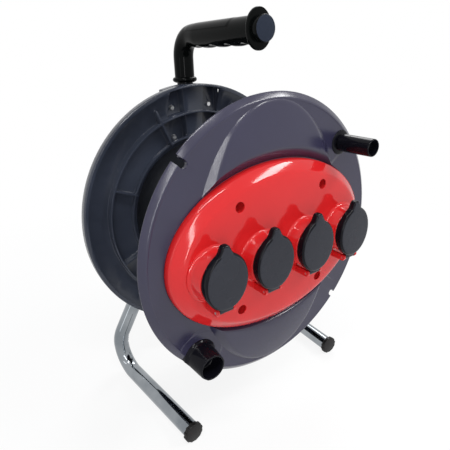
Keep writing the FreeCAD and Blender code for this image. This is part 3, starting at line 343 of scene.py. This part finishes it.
def shaped(base, tool, operation):
    """Base with the tool added, taken away or kept in common. Both are used up."""
    bodies = []
    for name, bm in (("base", base), ("tool", tool)):
        mesh = bpy.data.meshes.new(name)
        bm.to_mesh(mesh)
        bm.free()
        body = bpy.data.objects.new(name, mesh)
        bpy.context.collection.objects.link(body)
        bodies.append(body)
    change = bodies[0].modifiers.new("change", "BOOLEAN")
    change.operation = operation
    change.solver = "EXACT"
    change.object = bodies[1]
    graph = bpy.context.evaluated_depsgraph_get()
    graph.update()
    mesh = bpy.data.meshes.new_from_object(bodies[0].evaluated_get(graph))
    result = bmesh.new()
    result.from_mesh(mesh)
    bpy.data.meshes.remove(mesh)
    for body in bodies:
        mesh = body.data
        bpy.data.objects.remove(body)
        bpy.data.meshes.remove(mesh)
    return result


def cut(base, *tools):
    for tool in tools:
        base = shaped(base, tool, "DIFFERENCE")
    return base


def added(base, *parts):
    for part in parts:
        base = shaped(base, part, "UNION")
    return base


def kept(base, limit):
    return shaped(base, limit, "INTERSECT")


def eased_edges(bm, width, turn, steps=2):
    """Rounds every edge at which the surface turns more than that many degrees."""
    sharp = [edge for edge in bm.edges if edge.calc_face_angle(0) > math.radians(turn)]
    bmesh.ops.bevel(bm, geom=sharp, offset=width, offset_type="OFFSET", segments=steps, profile=0.5,
                    affect="EDGES", material=-1)
    return bm


def piece(name, bm, slot, body, nodes, place=TO_FRAME, sharp=32.0, front=None):
    """Finished piece in its place, which stands for those CAD nodes. front is the rule that marks
    its textured faces, on which the finish paints a lighter reflection."""
    marks = [float(bool(front and front(face))) for face in bm.faces]
    moved(bm, place)
    mesh = bpy.data.meshes.new(name)
    bm.to_mesh(mesh)
    bm.free()
    if front:
        mesh.attributes.new("front", "FLOAT", "FACE").data.foreach_set("value", marks)
    mesh.shade_smooth()
    mesh.set_sharp_from_angle(angle=math.radians(sharp))
    mesh.materials.append(FINISH[slot])
    obj = bpy.data.objects.new(name, mesh)
    bpy.context.collection.objects.link(obj)
    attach(obj, body)
    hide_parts(*nodes)
    return obj


# Faces that look forward: these get the painted reflection of a finish's face colour.
def faces_forward(face):
    return face.normal.y < -0.9


# Places and sizes that several pieces share


def round_axis(radius, degrees):
    """x and z of a place at that radius and angle round the drum axis."""
    angle = math.radians(degrees)
    return radius * math.cos(angle), radius * math.sin(angle)


SOCKET_PITCH = 54.46
SOCKET_PLACES = [(i - 1.5) * SOCKET_PITCH for i in range(4)]
SOCKET_HOLE = 21.55
COVER_SCREWS = [(side * 51.5, height) for side in (-1, 1) for height in (53.3, -50.2)]
COVER_SCREW_HOLE = 2.25
CARRIER_SCREWS = [(i * SOCKET_PITCH, z) for i in (-1, 0, 1) for z in (-17, 17)]
CRANK = round_axis(126, 43.5)
HOLDER = round_axis(131, 225)
HOLDER_SCREW_HOLE = 2.1
NOTCHES = (135, 315)
HINGE_DEPTH = -35.0
HINGE_HEIGHT = -29.0
HINGE_PIN_HOLE = 1.25


# Drum: front flange

LENS_LEVEL = -11.0
LENS_BASE = (95.2, 139.56, -3)
LENS_TOP = (80.8, 133.8, LENS_LEVEL)
LENS_RINGS = (5, 9, 13, 17, 21, 26, 32, 40, 52, 66)
FALL_FROM = 92.0
FALL_LENGTH = 46.4
FALL_DEPTH = 5.4
FALL_POWER = 1.8
CREST_DOWN = 2.4
CREST_INWARD = 2.6
NOTCH_HALF = 3.5
NOTCH_END = 135
NOTCH_REACH = 20
NOTCH_LIP = 0.9
NOTCH_WALL = -4.85
RIM_OUTLINE = [
    (0, -5.4, 0), (136.4, -5.4, 0.3), (136.9, -5.65, 0.2), (138.3, -5.5, 1.0), (143.2, -1.9, 0.5),
    (143.8, -1.2, 0.35), (143.7, -0.3, 0.4), (138.5, -0.3, 0.8), (138.5, 5, 0.5), (136.2, 5, 0.5),
    (136.2, -1.2, 0.6), (0, -1.2, 0),
]
HOLDER_PAD = [(0, -3, 0), (25.6, -3, 0), (25.6, -5.3, 0), (24.9, -5.64, 0.2), (0, -5.64, 0)]
LENS_HOLLOW = [(0, -8.2, 0), (95, -8.2, 4), (107, -7.7, 4), (117, -6.6, 4), (128, -4.7, 0),
               (128, 0.8, 0), (0, 0.8, 0)]


def lens_fall(radius):
    """Depth of the raised panel's face, which falls away towards the rim."""
    return LENS_LEVEL + FALL_DEPTH * (max(0.0, radius - FALL_FROM) / FALL_LENGTH) ** FALL_POWER


def lens_crest(angle):
    """Base and crest of the panel's slope at an angle."""
    base = Vector(oval(*LENS_BASE)(angle))
    top = Vector(oval(*LENS_TOP)(angle))
    low = 0.0
    high = 1.0
    for _ in range(24):
        middle = (low + high) / 2
        point = base.lerp(top, middle)
        if point.y > lens_fall(math.hypot(point.x, point.z)):
            low = middle
        else:
            high = middle
    return base, base.lerp(top, low)


def lens_row(inward, round_step=None):
    """Row on the panel's face, that far in from its crest, or on the round of the crest."""
    def face_point(crest, distance):
        length = math.hypot(crest.x, crest.z)
        scale = max(0.0, length - distance) / length
        return Vector((crest.x * scale, lens_fall(length * scale), crest.z * scale))

    def rule(angle):
        base, crest = lens_crest(angle)
        if round_step is None:
            return face_point(crest, inward)
        outer = crest.lerp(base, min(0.7, CREST_DOWN / (base - crest).length))
        inner = face_point(crest, CREST_INWARD)
        return outer.lerp(crest, round_step).lerp(crest.lerp(inner, round_step), round_step)
    return rule


def raised_lens():
    rows = [oval(96.3, 140.0, -2.4)]
    rows += [lens_row(0, step / 4) for step in range(5)]
    rows += [lens_row(distance) for distance in LENS_RINGS]
    return sleeve(rows, 216, "filled")


def rim_notch(angle):
    """Slot with a round inner end through the rim, its edge rounded over."""
    def outline(wider, depth):
        def rule(turn):
            half = NOTCH_HALF + wider
            outward = math.cos(turn)
            reach = NOTCH_REACH * min(1.0, 4 * outward) if outward > 0 else half * outward
            return (NOTCH_END + reach, depth, half * math.sin(turn))
        return rule
    rows = [outline(NOTCH_LIP, -13)]
    for step in range(5):
        turn = step * math.pi / 8
        rows.append(outline(NOTCH_LIP - NOTCH_LIP * math.sin(turn),
                            NOTCH_WALL - NOTCH_LIP * math.cos(turn)))
    rows.append(outline(0, 14))
    return moved(sleeve(rows, 96, "filled"), Matrix.Rotation(math.radians(-angle), 4, "Y"))


def cover_seat():
    """Cut for the moat that the cover sits in, from its floor up."""
    return sleeve([
        oval(122.1, 84.0, -4), oval(122.1, 87.0, -7, 1.0), oval(122.2, 89.6, -9.4, 2.0),
        oval(122.5, 90.8, -10.3, 2.4), oval(123.2, 92.0, -10.8, 2.7), oval(124.8, 93.6, -11.2, 2.9),
        oval(125.6, 94.4, -15, 3.0)], 192, "filled")


def front_flange():
    pad = shifted(turned(HOLDER_PAD, 96), HOLDER[0], 0, HOLDER[1])
    pad = kept(pad, bar(138.1, -8, 2, steps=192))
    hollow = kept(oval_bar(77.8, 129.3, -9.2, 4.2, 128), turned(LENS_HOLLOW, 96))
    hollow = cut(hollow, oval_bar(126, 94, -13, 6, 128, 3.5))
    shape = added(turned(RIM_OUTLINE, 192), pad, raised_lens())
    shape = cut(shape, cover_seat(), hollow)
    barrel_seat = bar(87, -2.2, 9, steps=128)
    pan = oval_bar(116, 78, -2.1, 8.98, 160)
    pan_inside = oval_bar(113, 75, -13, 6.2, 160)
    shape = cut(added(shape, barrel_seat, pan), pan_inside)
    holes = [bar(30, 0, 12), bar(5.5, -14, 12, *CRANK), bar(HOLDER_SCREW_HOLE, -14, 12, *HOLDER)]
    holes += [bar(COVER_SCREW_HOLE, 0, 12, x, z, 24) for x, z in COVER_SCREWS]
    shape = cut(shape, joined(holes), *[rim_notch(angle) for angle in NOTCHES])
    piece("flange", shape, "flange_grey", "drum", ["front_flange"])


# Drum: socket cover, lids, knob and plug holder

COVER_HALF_WIDTH = 121.5
COVER_HALF_HEIGHT = 83.4


def cover_dome():
    """Oval shell of the cover: inside rows from the middle out, then outside rows back in."""
    inside = [(60, 52, -18.3), (27.5, 26.5, -18.0), (18, 17, -17.4), (13.2, 12.2, -16.4),
              (10, 9.4, -15.1), (6.6, 6.4, -13.2), (3.8, 3.8, -10.8), (2.6, 2.6, -8), (2.5, 2.5, -4)]
    outside = [(0, 0, -4), (0, 0, -8.3), (0.15, 0.15, -9.5), (0.6, 0.6, -10.8), (1.3, 1.2, -11.8),
               (2.2, 2.1, -12.7), (3.4, 3.2, -13.6), (5.2, 4.8, -14.9), (7.4, 6.8, -16.4),
               (9.3, 8.6, -17.7), (10.2, 9.4, -18.25), (11.2, 10.3, -18.7), (12.5, 11.5, -19.05),
               (14.5, 13.3, -19.4), (19.5, 18.3, -19.9), (26, 25, -20.35), (36, 34, -20.7),
               (50, 45, -20.9), (72, 60, -21.0)]
    rows = [oval(COVER_HALF_WIDTH - side, COVER_HALF_HEIGHT - end, depth)
            for side, end, depth in inside + outside]
    return sleeve(rows, 216, "filled")


def hinge_lug(middle):
    """Upright lug for a hinge pin, its front corners rounded off."""
    lug = block(middle - 1.48, middle + 1.48, -38.4, -18.5, -32.4, -25.6)
    front = [edge for edge in lug.edges if all(vert.co.y < -38 for vert in edge.verts)
             and abs(edge.verts[0].co.x - edge.verts[1].co.x) > 1]
    bmesh.ops.bevel(lug, geom=front, offset=3.35, offset_type="OFFSET", segments=8, profile=0.5,
                    affect="EDGES", material=-1)
    return eased_edges(lug, 0.45, 60, 2)


def socket_cover():
    mouth = [(0, -23, 0), (6.6, -23, 0), (5.7, -20.95, 0), (5.1, -20.5, 0), (4.85, -19.9, 0),
             (4.8, -19.0, 0), (4.8, -12, 0), (0, -12, 0)]
    collar = [(SOCKET_HOLE, -33.6, 0.3), (22.85, -33.6, 0.5), (24.75, -21.9, 1.5), (27.2, -20.6, 0),
              (27.2, -19.2, 0), (SOCKET_HOLE, -19.2, 0)]
    post = [(COVER_SCREW_HOLE, -2, 0), (4.8, -2, 0.4), (4.8, -19, 0), (7.1, -19, 0), (7.1, 6.2, 0),
            (COVER_SCREW_HOLE, 6.2, 0)]
    carrier_post = [(1.5, -18.4, 0), (3.3, -18.4, 0), (3.3, -1, 0), (1.5, -1, 0)]
    wells = [shifted(turned(mouth, 48), x, 0, z) for x, z in COVER_SCREWS]
    ways = [bar(SOCKET_HOLE, -30, -10, x, steps=96) for x in SOCKET_PLACES]
    parts = [cut(cover_dome(), joined(wells), joined(ways))]
    for x in SOCKET_PLACES:
        parts.append(shifted(turned(collar, 96), x))
        parts += [hinge_lug(x - 8.77), hinge_lug(x + 8.77)]
    parts += [shifted(turned(post, 48), x, 0, z) for x, z in COVER_SCREWS]
    parts += [shifted(turned(carrier_post, 24), x, 0, z) for x, z in CARRIER_SCREWS]
    piece("cover", joined(parts), "cover_red", "drum", ["socket_cover"])


def lid_row(inset, depth, lift):
    """Row round a lid, with its lifting nose above."""
    def rule(angle):
        x = (22 - inset) * math.cos(angle)
        z = (26.5 - inset) * math.sin(angle)
        if z > 0:
            z += lift / (1 + (abs(x) / 4.9) ** 6)
        return (x, depth, z)
    return rule


def lids():
    rows = [(0.3, -35.0, 6.8), (0, -35.3, 7), (0, -39.6, 7), (0.12, -40.2, 6.8), (0.45, -40.8, 6.2),
            (1.0, -41.35, 5.2), (1.7, -41.75, 3.2), (2.5, -41.95, 1.0), (3.4, -42.0, 0)]
    lid = sleeve([lid_row(*row) for row in rows], 192, "filled")
    knuckle = rod(2.9, -7, 7, HINGE_DEPTH, HINGE_HEIGHT)
    lid = added(lid, knuckle, block(-7, 7, -37.9, -33.5, -29.2, -24, 0.4))
    inside = bar(17.8, -39.6, -30, steps=96)
    seal_seat = bar(20.3, -36.2, -33, steps=96)
    spring_gap = block(-2.6, 2.6, -37.2, -30, -33, -25.6)
    pin_hole = rod(HINGE_PIN_HOLE, -9, 9, HINGE_DEPTH, HINGE_HEIGHT, 24)
    lid = cut(lid, inside, seal_seat, spring_gap, pin_hole)
    pattern = bpy.data.meshes.new("lid_pattern")
    lid.to_mesh(pattern)
    lid.free()
    for number, x in enumerate(SOCKET_PLACES, 1):
        copy = bmesh.new()
        copy.from_mesh(pattern)
        # The forward faces of each lid get lid_black's painted reflection.
        piece("lid_cap_%d" % number, shifted(copy, x), "lid_black", "lid_body_%d" % number,
              ["lid_%d" % number], front=faces_forward)
    bpy.data.meshes.remove(pattern)


def winding_knob():
    knob = turned([(5.55, -7.6, 0), (8.4, -7.6, 0.3), (9.0, -8.2, 0.4), (8.7, -45.4, 0.5),
                   (8.2, -46, 0.4), (7.6, -46, 0.35), (7.6, -30.7, 0.5), (5.55, -30.7, 0)], 96)
    piece("knob", shifted(knob, CRANK[0], 0, CRANK[1]), "lid_black", "knob", ["crank_knob"])


def plug_stub():
    stub = turned([(0, -1.4, 0), (17.8, -1.4, 0), (17.3, -6.5, 0.5), (15.0, -8.8, 1.6),
                   (13, -28, 0.5), (11.3, -28, 0.5), (11.3, -12, 1.5), (0, -12, 0)], 96)
    stub = shifted(stub, HOLDER[0], 0, HOLDER[1])
    stub = cut(stub, bar(HOLDER_SCREW_HOLE, -10.5, 4, *HOLDER, 24))
    stub = kept(stub, bar(143.4, -40, 20, steps=160))
    piece("plug_stub", stub, "lid_black", "drum", ["plug_holder"])


# Stand: tubes, foot caps and grip

TUBE_RADIUS = 9.0
TUBE_BORE = 7.5
TUBE_PLANE = 146.0
LEG_BENDS = [25.0, 36.0]
WRINKLED_BEND = 2
WRINKLES = 5
WRINKLE_DEPTH = 0.55
WRINKLE_SINK = 0.35
CAP_RADIUS = 10.4
RIB_PLACES = 96


def curved_run(points, radii, step_degrees=6.0):
    """Points and directions along straight runs with an arc at each inner point."""
    points = [Vector(point) for point in points]
    places = [(points[0], (points[1] - points[0]).normalized(), None)]
    for number, radius in enumerate(radii, 1):
        before, corner, after = points[number - 1:number + 2]
        back = (before - corner).normalized()
        ahead = (after - corner).normalized()
        half = back.angle(ahead) / 2
        centre = corner + (back + ahead).normalized() * (radius / math.sin(half))
        start = corner + back * (radius / math.tan(half))
        axis = (-back).cross(ahead).normalized()
        turn = math.pi - 2 * half
        steps = max(2, round(math.degrees(turn) / step_degrees))
        for i in range(steps + 1):
            spun = Matrix.Rotation(turn * i / steps, 3, axis)
            inward = (spun @ (centre - start)).normalized()
            point = centre + spun @ (start - centre)
            places.append((point, spun @ -back, (number, i / steps, inward)))
    places.append((points[-1], places[-1][1], None))
    return places


def tube_rows(places, radius, side, wrinkled=None):
    """Rows square to a run. side is across the run at its start."""
    rows = []
    across = Vector(side)
    for point, ahead, bend in places:
        across = (across - ahead * across.dot(ahead)).normalized()
        up = ahead.cross(across)

        def rule(angle, point=point, across=across, up=up, bend=bend):
            out = across * math.cos(angle) + up * math.sin(angle)
            size = radius
            if wrinkled and bend and bend[0] == wrinkled:
                inner = max(0.0, out.dot(bend[2]))
                fade = math.sin(math.pi * bend[1]) ** 0.5
                ripple = WRINKLE_DEPTH * math.sin(2 * math.pi * WRINKLES * bend[1]) - WRINKLE_SINK
                size += inner ** 1.5 * fade * ripple
            return point + out * size
        rows.append(rule)
    return rows


def leg_run(side):
    """Corner points of a leg, from its front end to its end behind the drum."""
    foot, front, corner = (105.0, 0.6, 117.5) if side < 0 else (112.0, 8.0, 121.5)
    lean = 2.0 / (TUBE_PLANE - LEG_BENDS[0] - front)
    return [(side * foot, front, -189.0), (side * corner, TUBE_PLANE, -191.0 - lean * LEG_BENDS[0]),
            (side * 119.0, TUBE_PLANE, -151.0), (side * 35.0, TUBE_PLANE, -10.0)]


def is_rib(face):
    """Whether a face of a foot cap's rim is one of the four in eight that stand out."""
    middle = face.calc_center_median()
    if abs(face.normal.y) > 0.8 or math.hypot(middle.x, middle.z) < CAP_RADIUS - 0.3 or middle.y > 1:
        return False
    share = (math.atan2(middle.z, middle.x) + 2 * math.pi) / (2 * math.pi)
    return int(share * RIB_PLACES) % 8 < 4


def leg(name, side):
    run = leg_run(side)
    places = curved_run(run, LEG_BENDS, 3.0)
    outer = tube_rows(places, TUBE_RADIUS, (1, 0, 0), WRINKLED_BEND)
    inner = tube_rows(places, TUBE_BORE, (1, 0, 0))[::-1]
    skin = sleeve(outer + inner, 64, "joined")
    piece("tube_" + name, skin, "tube_chrome", "stand", ["leg_" + name])
    start = Vector(run[0])
    along = (Vector(run[1]) - start).normalized()
    cap = turned([(0, -5, 0), (CAP_RADIUS, -5, 1.2), (CAP_RADIUS, 0, 0.4), (TUBE_BORE, 0, 0.2),
                  (TUBE_BORE, 16, 0.5), (0, 16, 0)], RIB_PLACES)
    bmesh.ops.inset_region(cap, faces=[face for face in cap.faces if is_rib(face)], thickness=0.25,
                           depth=0.55, use_even_offset=True)
    turn = Vector((0, 1, 0)).rotation_difference(along).to_matrix().to_4x4()
    piece("foot_plug_" + name, moved(cap, Matrix.Translation(start) @ turn), "cap_rubber", "stand",
          ["foot_cap_" + name])


GRIP_HEIGHT = 193.8
GRIP_FRONT = 14.4
GRIP_BEND = 22.0
GRIP_RADIUS = 11.0
GRIP_BORE = 9.05
GRIP_START = 122
GRIP_STEP = 1.6
GRIP_ROWS = 63
GRIP_LAST = 19.6
HAND_DROP = 1.0
HAND_WIDER = 1.2
HAND_HIGHER = 1.4
HAND_FADE = (106, 126)
RIDGE_PROUD = 0.55
RIDGE_START = (46.5, 48)
RIDGE_END = (118, 132)
RIDGE_EDGE = (0.36, 0.44)
GROOVE_FIRST = 31.8
GROOVE_PITCH = 24.5
GROOVE_HALF = 10.6
GROOVE_DEPTH = 3.0
FLOOR_ROUND = 1.4
GUARD_RING = [(12.9, 15.2, 18.8), (13.3, 16.9, 18.3), (13.6, 17.3, 17.5), (13.6, 17.3, 15.2),
              (13.3, 17.0, 14.6), (12.8, 16.4, GRIP_FRONT), (GRIP_BORE, GRIP_BORE, GRIP_FRONT)]


def blended(low, high, value):
    """0 below low, 1 above high, smooth between."""
    share = min(1.0, max(0.0, (value - low) / (high - low)))
    return share * share * (3 - 2 * share)


def grip_floor(depth):
    """Height of the grip's underside, with its finger grooves."""
    low = GRIP_HEIGHT - HAND_DROP - GRIP_RADIUS - HAND_HIGHER
    groove = 0.0
    for number in range(4):
        reach = abs(depth - GROOVE_FIRST - GROOVE_PITCH * number) / GROOVE_HALF
        if reach < 1:
            groove = max(groove, GROOVE_DEPTH * (0.5 + 0.5 * math.cos(math.pi * reach)))
    return low + groove


def grip_row(depth):
    """Row of the hand part at one depth, with a raised top and grooves under it."""
    share = 1.0 - blended(*HAND_FADE, depth)
    wide = GRIP_RADIUS + HAND_WIDER * share
    high = GRIP_RADIUS + HAND_HIGHER * share
    middle = GRIP_HEIGHT - HAND_DROP * share
    ridge = RIDGE_PROUD * blended(*RIDGE_START, depth) * (1 - blended(*RIDGE_END, depth))

    def rule(angle):
        x = math.cos(angle)
        z = math.sin(angle)
        proud = ridge * blended(*RIDGE_EDGE, z)
        x *= wide + proud
        z = middle + z * (high + proud * 0.3)
        floor = grip_floor(depth)
        if share > 0 and z < floor + FLOOR_ROUND:
            gap = (z - floor + FLOOR_ROUND) / (2 * FLOOR_ROUND)
            z = floor + FLOOR_ROUND * max(0.0, gap) ** 2
        return (x, depth, z)
    return rule


def grip_collar():
    """Bead round the foot of the grip."""
    bead = bmesh.new()
    bmesh.ops.create_circle(bead, radius=2.7, segments=20)
    bmesh.ops.translate(bead, vec=(GRIP_RADIUS, 0, 0), verts=bead.verts)
    bmesh.ops.spin(bead, geom=bead.verts[:] + bead.edges[:], cent=(0, 0, 0), axis=(0, 1, 0),
                   angle=2 * math.pi, steps=64, use_merge=True)
    bmesh.ops.remove_doubles(bead, verts=bead.verts, dist=0.001)
    bmesh.ops.recalc_face_normals(bead, faces=bead.faces)
    upright = Matrix.Rotation(math.radians(90), 4, "X")
    return moved(bead, Matrix.Translation((0, TUBE_PLANE, 149.5)) @ upright)


def hand_grip():
    corners = [(0, TUBE_PLANE, 146.5), (0, TUBE_PLANE, GRIP_HEIGHT), (0, GRIP_FRONT, GRIP_HEIGHT)]
    run = curved_run(corners, [GRIP_BEND], 7.5)[:-1]
    above_collar = (Vector((0, TUBE_PLANE, 149)), Vector((0, 0, 1)), None)
    rows = tube_rows([run[0], above_collar] + run[1:], GRIP_RADIUS, (1, 0, 0))
    rows += [grip_row(GRIP_START - GRIP_STEP * i) for i in range(GRIP_ROWS)]
    rows += [grip_row(GRIP_LAST)]
    rows += [oval(wide, high, depth, GRIP_HEIGHT) for wide, high, depth in GUARD_RING]
    rows += tube_rows(run, GRIP_BORE, (1, 0, 0))[::-1]
    grip = sleeve(rows, 96, "joined")
    piece("grip", joined([grip, grip_collar()]), "grip_black", "stand", ["hand_grip"])
    cap = turned([(0, 6.8, 0), (10.9, 6.8, 0.9), (10.9, GRIP_FRONT, 0.3),
                  (TUBE_BORE, GRIP_FRONT, 0.2), (TUBE_BORE, 28.4, 0.5), (0, 28.4, 0)], 96)
    # The end cap's forward face gets grip_black's painted reflection.
    piece("grip_end", shifted(cap, 0, 0, GRIP_HEIGHT), "grip_black", "stand", ["grip_cap"],
          front=faces_forward)


# CAD pieces whose shape is right: a merged copy with its edges rounded, or the node itself

SOFTENED = {
    "rear_disc": 0.35, "barrel": 0.4, "crank_spigot": 0.3, "hub_bracket": 0.6,
    "tube_clamp_top": 0.5, "tube_clamp_left": 0.5, "tube_clamp_right": 0.5, "cable_grommet": 0.3,
}


def softened(node, width):
    bm = bmesh.new()
    bm.from_mesh(frame["nodes"][node].data)
    bmesh.ops.remove_doubles(bm, verts=bm.verts, dist=1e-5)
    bmesh.ops.dissolve_limit(bm, angle_limit=math.radians(0.5), verts=bm.verts, edges=bm.edges)
    eased_edges(bm, width / 1000, 30)
    piece(node + "_moulding", bm, SLOTS[node], frame["nodes"][node]["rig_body"], [node], Matrix())


# Studio

def background_rays(tree, path):
    """1 for the rays that show the background: camera, glossy and transmission rays."""
    total = path.outputs["Is Camera Ray"]
    for name in ("Is Glossy Ray", "Is Transmission Ray"):
        most = tree.nodes.new("ShaderNodeMath")
        most.operation = "MAXIMUM"
        tree.links.new(total, most.inputs[0])
        tree.links.new(path.outputs[name], most.inputs[1])
        total = most.outputs[0]
    return total


def pale_floor():
    bm = bmesh.new()
    bmesh.ops.create_grid(bm, x_segments=1, y_segments=1, size=6.0)
    mesh = bpy.data.meshes.new("floor")
    bm.to_mesh(mesh)
    bm.free()
    floor = bpy.data.objects.new("floor", mesh)
    bpy.context.collection.objects.link(floor)
    floor.location.z = -0.0005
    material, tree, shader = new_finish("floor_paper")
    shader.inputs["Base Color"].default_value = (0.94, 0.94, 0.94, 1)
    shader.inputs["Roughness"].default_value = 0.9
    bumped(tree, shader, grain(tree, 300.0), 0.05)
    out = tree.nodes["Material Output"]
    white = tree.nodes.new("ShaderNodeEmission")
    mix = tree.nodes.new("ShaderNodeMixShader")
    path = tree.nodes.new("ShaderNodeLightPath")
    place = tree.nodes.new("ShaderNodeTexCoord")
    away = tree.nodes.new("ShaderNodeVectorMath")
    away.operation = "LENGTH"
    fade = tree.nodes.new("ShaderNodeMapRange")
    for name, value in (("From Min", 0.3), ("From Max", 0.75), ("To Min", 0.86), ("To Max", 1.0)):
        fade.inputs[name].default_value = value
    share = tree.nodes.new("ShaderNodeMath")
    share.operation = "MULTIPLY"
    tree.links.new(place.outputs["Object"], away.inputs[0])
    tree.links.new(away.outputs["Value"], fade.inputs["Value"])
    tree.links.new(fade.outputs["Result"], share.inputs[1])
    tree.links.new(background_rays(tree, path), share.inputs[0])
    tree.links.new(share.outputs[0], mix.inputs["Fac"])
    tree.links.new(shader.outputs["BSDF"], mix.inputs[1])
    tree.links.new(white.outputs["Emission"], mix.inputs[2])
    tree.links.new(mix.outputs["Shader"], out.inputs["Surface"])
    floor.data.materials.append(material)


def soft_lamp(name, place, aim, size, power):
    lamp = bpy.data.lights.new(name, "AREA")
    lamp.shape = "RECTANGLE"
    lamp.size = size[0]
    lamp.size_y = size[1]
    lamp.energy = power
    obj = bpy.data.objects.new(name, lamp)
    bpy.context.collection.objects.link(obj)
    obj.location = place
    obj.visible_camera = False
    obj.rotation_euler = (Vector(aim) - Vector(place)).to_track_quat("-Z", "Y").to_euler()


def studio_light():
    world = bpy.data.worlds.new("studio")
    bpy.context.scene.world = world
    world.use_nodes = True
    tree = world.node_tree
    room = tree.nodes["Background"]
    room.inputs["Color"].default_value = (0.80, 0.82, 0.85, 1)
    room.inputs["Strength"].default_value = 0.38
    white = tree.nodes.new("ShaderNodeBackground")
    white.inputs["Color"].default_value = (1, 1, 1, 1)
    white.inputs["Strength"].default_value = 1.0
    path = tree.nodes.new("ShaderNodeLightPath")
    mix = tree.nodes.new("ShaderNodeMixShader")
    tree.links.new(background_rays(tree, path), mix.inputs["Fac"])
    tree.links.new(room.outputs["Background"], mix.inputs[1])
    tree.links.new(white.outputs["Background"], mix.inputs[2])
    tree.links.new(mix.outputs["Shader"], tree.nodes["World Output"].inputs["Surface"])
    soft_lamp("overhead", (-0.35, -0.55, 1.5), (0, 0, 0.2), (0.9, 0.1), 9)
    soft_lamp("ceiling_back", (0.85, 0.6, 1.25), (0, 0, 0.25), (0.5, 0.8), 8)
    soft_lamp("ceiling_right", (0.85, -0.75, 1.2), (0, 0, 0.2), (0.8, 0.16), 8)
    soft_lamp("left_window", (-1.5, -0.25, 0.65), (0, 0, 0.2), (0.2, 0.9), 1.0)
    soft_lamp("front_window", (-0.78, -1.42, 0.75), (0, 0, 0.2), (0.12, 1.5), 9)
    bpy.context.scene.view_settings.view_transform = "Standard"


def photo_camera():
    """Camera at the photograph's place, with its small roll."""
    yaw = math.radians(35.08)
    pitch = math.radians(-22.63)
    roll = math.radians(-2.00)
    ahead = Vector((math.sin(yaw) * math.cos(pitch), math.cos(yaw) * math.cos(pitch),
                    math.sin(pitch)))
    right = Vector((math.cos(yaw), -math.sin(yaw), 0))
    up = right.cross(ahead)
    side = right * math.cos(roll) + up * math.sin(roll)
    top = up * math.cos(roll) - right * math.sin(roll)
    turn = Matrix((side, top, -ahead)).transposed().to_4x4()
    lens = bpy.data.cameras.new("photo_view")
    lens.sensor_width = 36.0
    lens.lens = 32.95
    lens.clip_start = 0.01
    camera = bpy.data.objects.new("photo_view", lens)
    bpy.context.collection.objects.link(camera)
    camera.matrix_world = Matrix.Translation(to_frame(-252.59, -282.88, 175.44)) @ turn
    bpy.context.scene.camera = camera


dress_frame()
front_flange()
socket_cover()
lids()
winding_knob()
plug_stub()
leg("left", -1)
leg("right", 1)
hand_grip()
for node, width in SOFTENED.items():
    softened(node, width)
pale_floor()
studio_light()
photo_camera()
